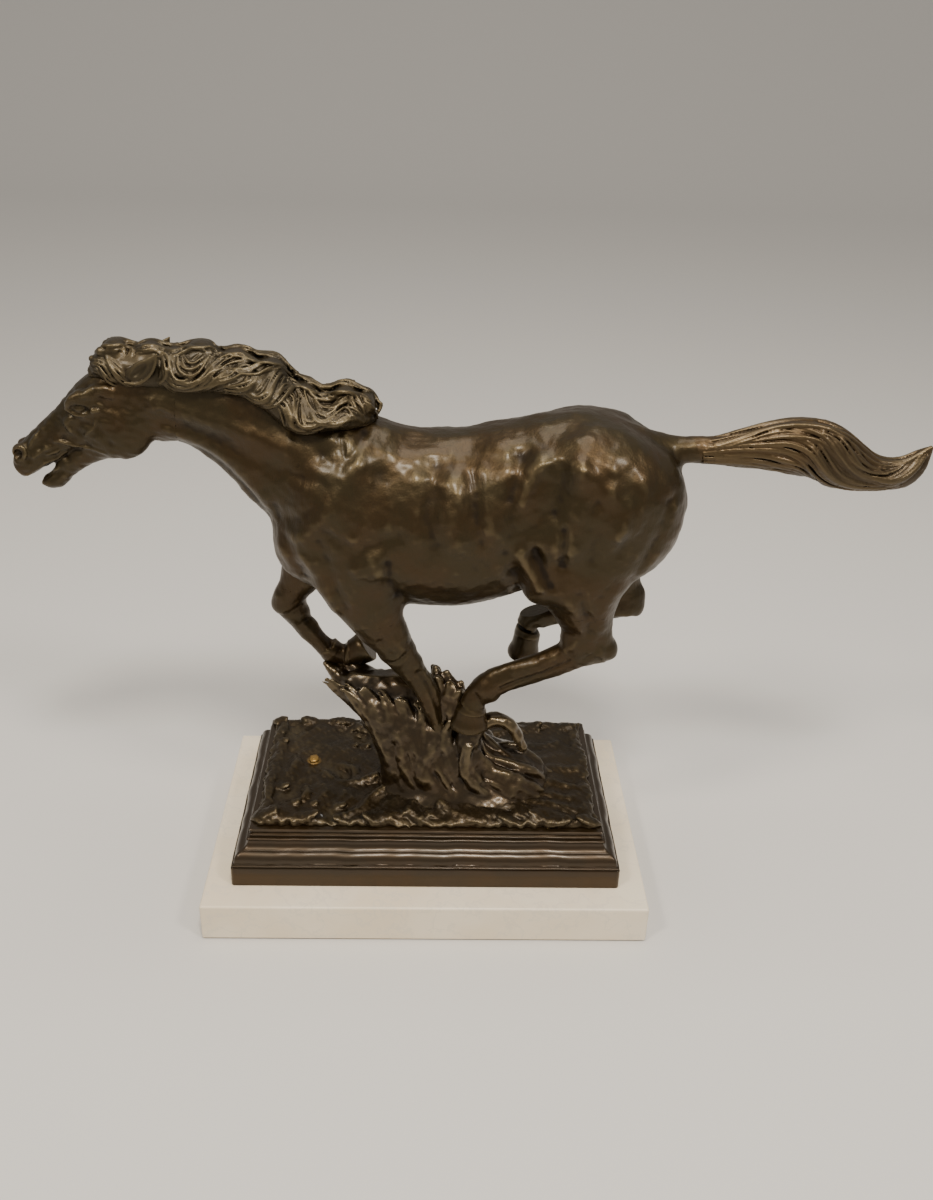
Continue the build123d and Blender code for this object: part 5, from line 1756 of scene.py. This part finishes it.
def stage_plane():
    """A floor that curves up behind the statue, as one sheet: its height is FLOOR_CURVE times the square
    of the distance past FLOOR_BACK."""
    x = np.linspace(-6, 6, 13)
    run = np.linspace(-4, FLOOR_BACK, 15)
    rise = np.linspace(0.2, 3, 12)
    ys = np.concatenate([run, FLOOR_BACK + rise])
    zs = np.concatenate([0 * run, FLOOR_CURVE * rise**2])
    points = np.stack([np.repeat(x, len(ys)), np.tile(ys, len(x)), np.tile(zs, len(x))], 1)
    i, j = np.meshgrid(np.arange(len(x) - 1), np.arange(len(ys) - 1), indexing="ij")
    n = len(ys)
    quads = np.stack([i * n + j, (i + 1) * n + j, (i + 1) * n + j + 1, i * n + j + 1], -1).reshape(-1, 4)
    mesh = bpy.data.meshes.new("floor")
    mesh.from_pydata(points.tolist(), [], quads.tolist())
    mesh.shade_smooth()
    floor = bpy.data.objects.new("floor", mesh)
    bpy.context.collection.objects.link(floor)
    return floor


floor = stage_plane()
paper = bpy.data.materials.new("pale paper")
paper.use_nodes = True
paper.node_tree.nodes["Principled BSDF"].inputs["Base Color"].default_value = (0.62, 0.60, 0.57, 1)
paper.node_tree.nodes["Principled BSDF"].inputs["Roughness"].default_value = 0.9
floor.data.materials.append(paper)


def soft_light(name, place, target, size, power, colour):
    """A round lamp, size metres across, turned to face its target."""
    light = bpy.data.lights.new(name, "AREA")
    light.shape = "DISK"
    light.size = size
    light.energy = power
    light.color = colour
    lamp = bpy.data.objects.new(name, light)
    away = np.array(place, float) - np.array(target, float)
    away /= np.linalg.norm(away)
    side = np.cross((0, 0, 1), away)
    side /= np.linalg.norm(side)
    turn = np.stack([side, np.cross(away, side), away], 1)
    lamp.matrix_world = Matrix.Translation(place) @ Matrix(turn.tolist()).to_4x4()
    bpy.context.collection.objects.link(lamp)


soft_light("left ceiling light", (-0.9, -0.9, 1.7), (0, 0, 0.25), 0.30, 15, (1.0, 0.93, 0.82))
soft_light("right ceiling light", (1.0, -0.9, 1.6), (0, 0, 0.25), 0.30, 13, (1.0, 0.94, 0.86))
soft_light("front ceiling light", (0.12, -0.85, 1.80), (0, 0, 0.22), 0.28, 20, (1.0, 0.94, 0.84))
soft_light("overhead light", (0.1, 0.2, 2.0), (0, 0, 0.25), 1.0, 14, (1.0, 0.95, 0.88))
world = bpy.data.worlds.new("room")
bpy.context.scene.world = world
world.use_nodes = True
world.node_tree.nodes["Background"].inputs["Color"].default_value = (0.9, 0.86, 0.8, 1)
world.node_tree.nodes["Background"].inputs["Strength"].default_value = 0.55
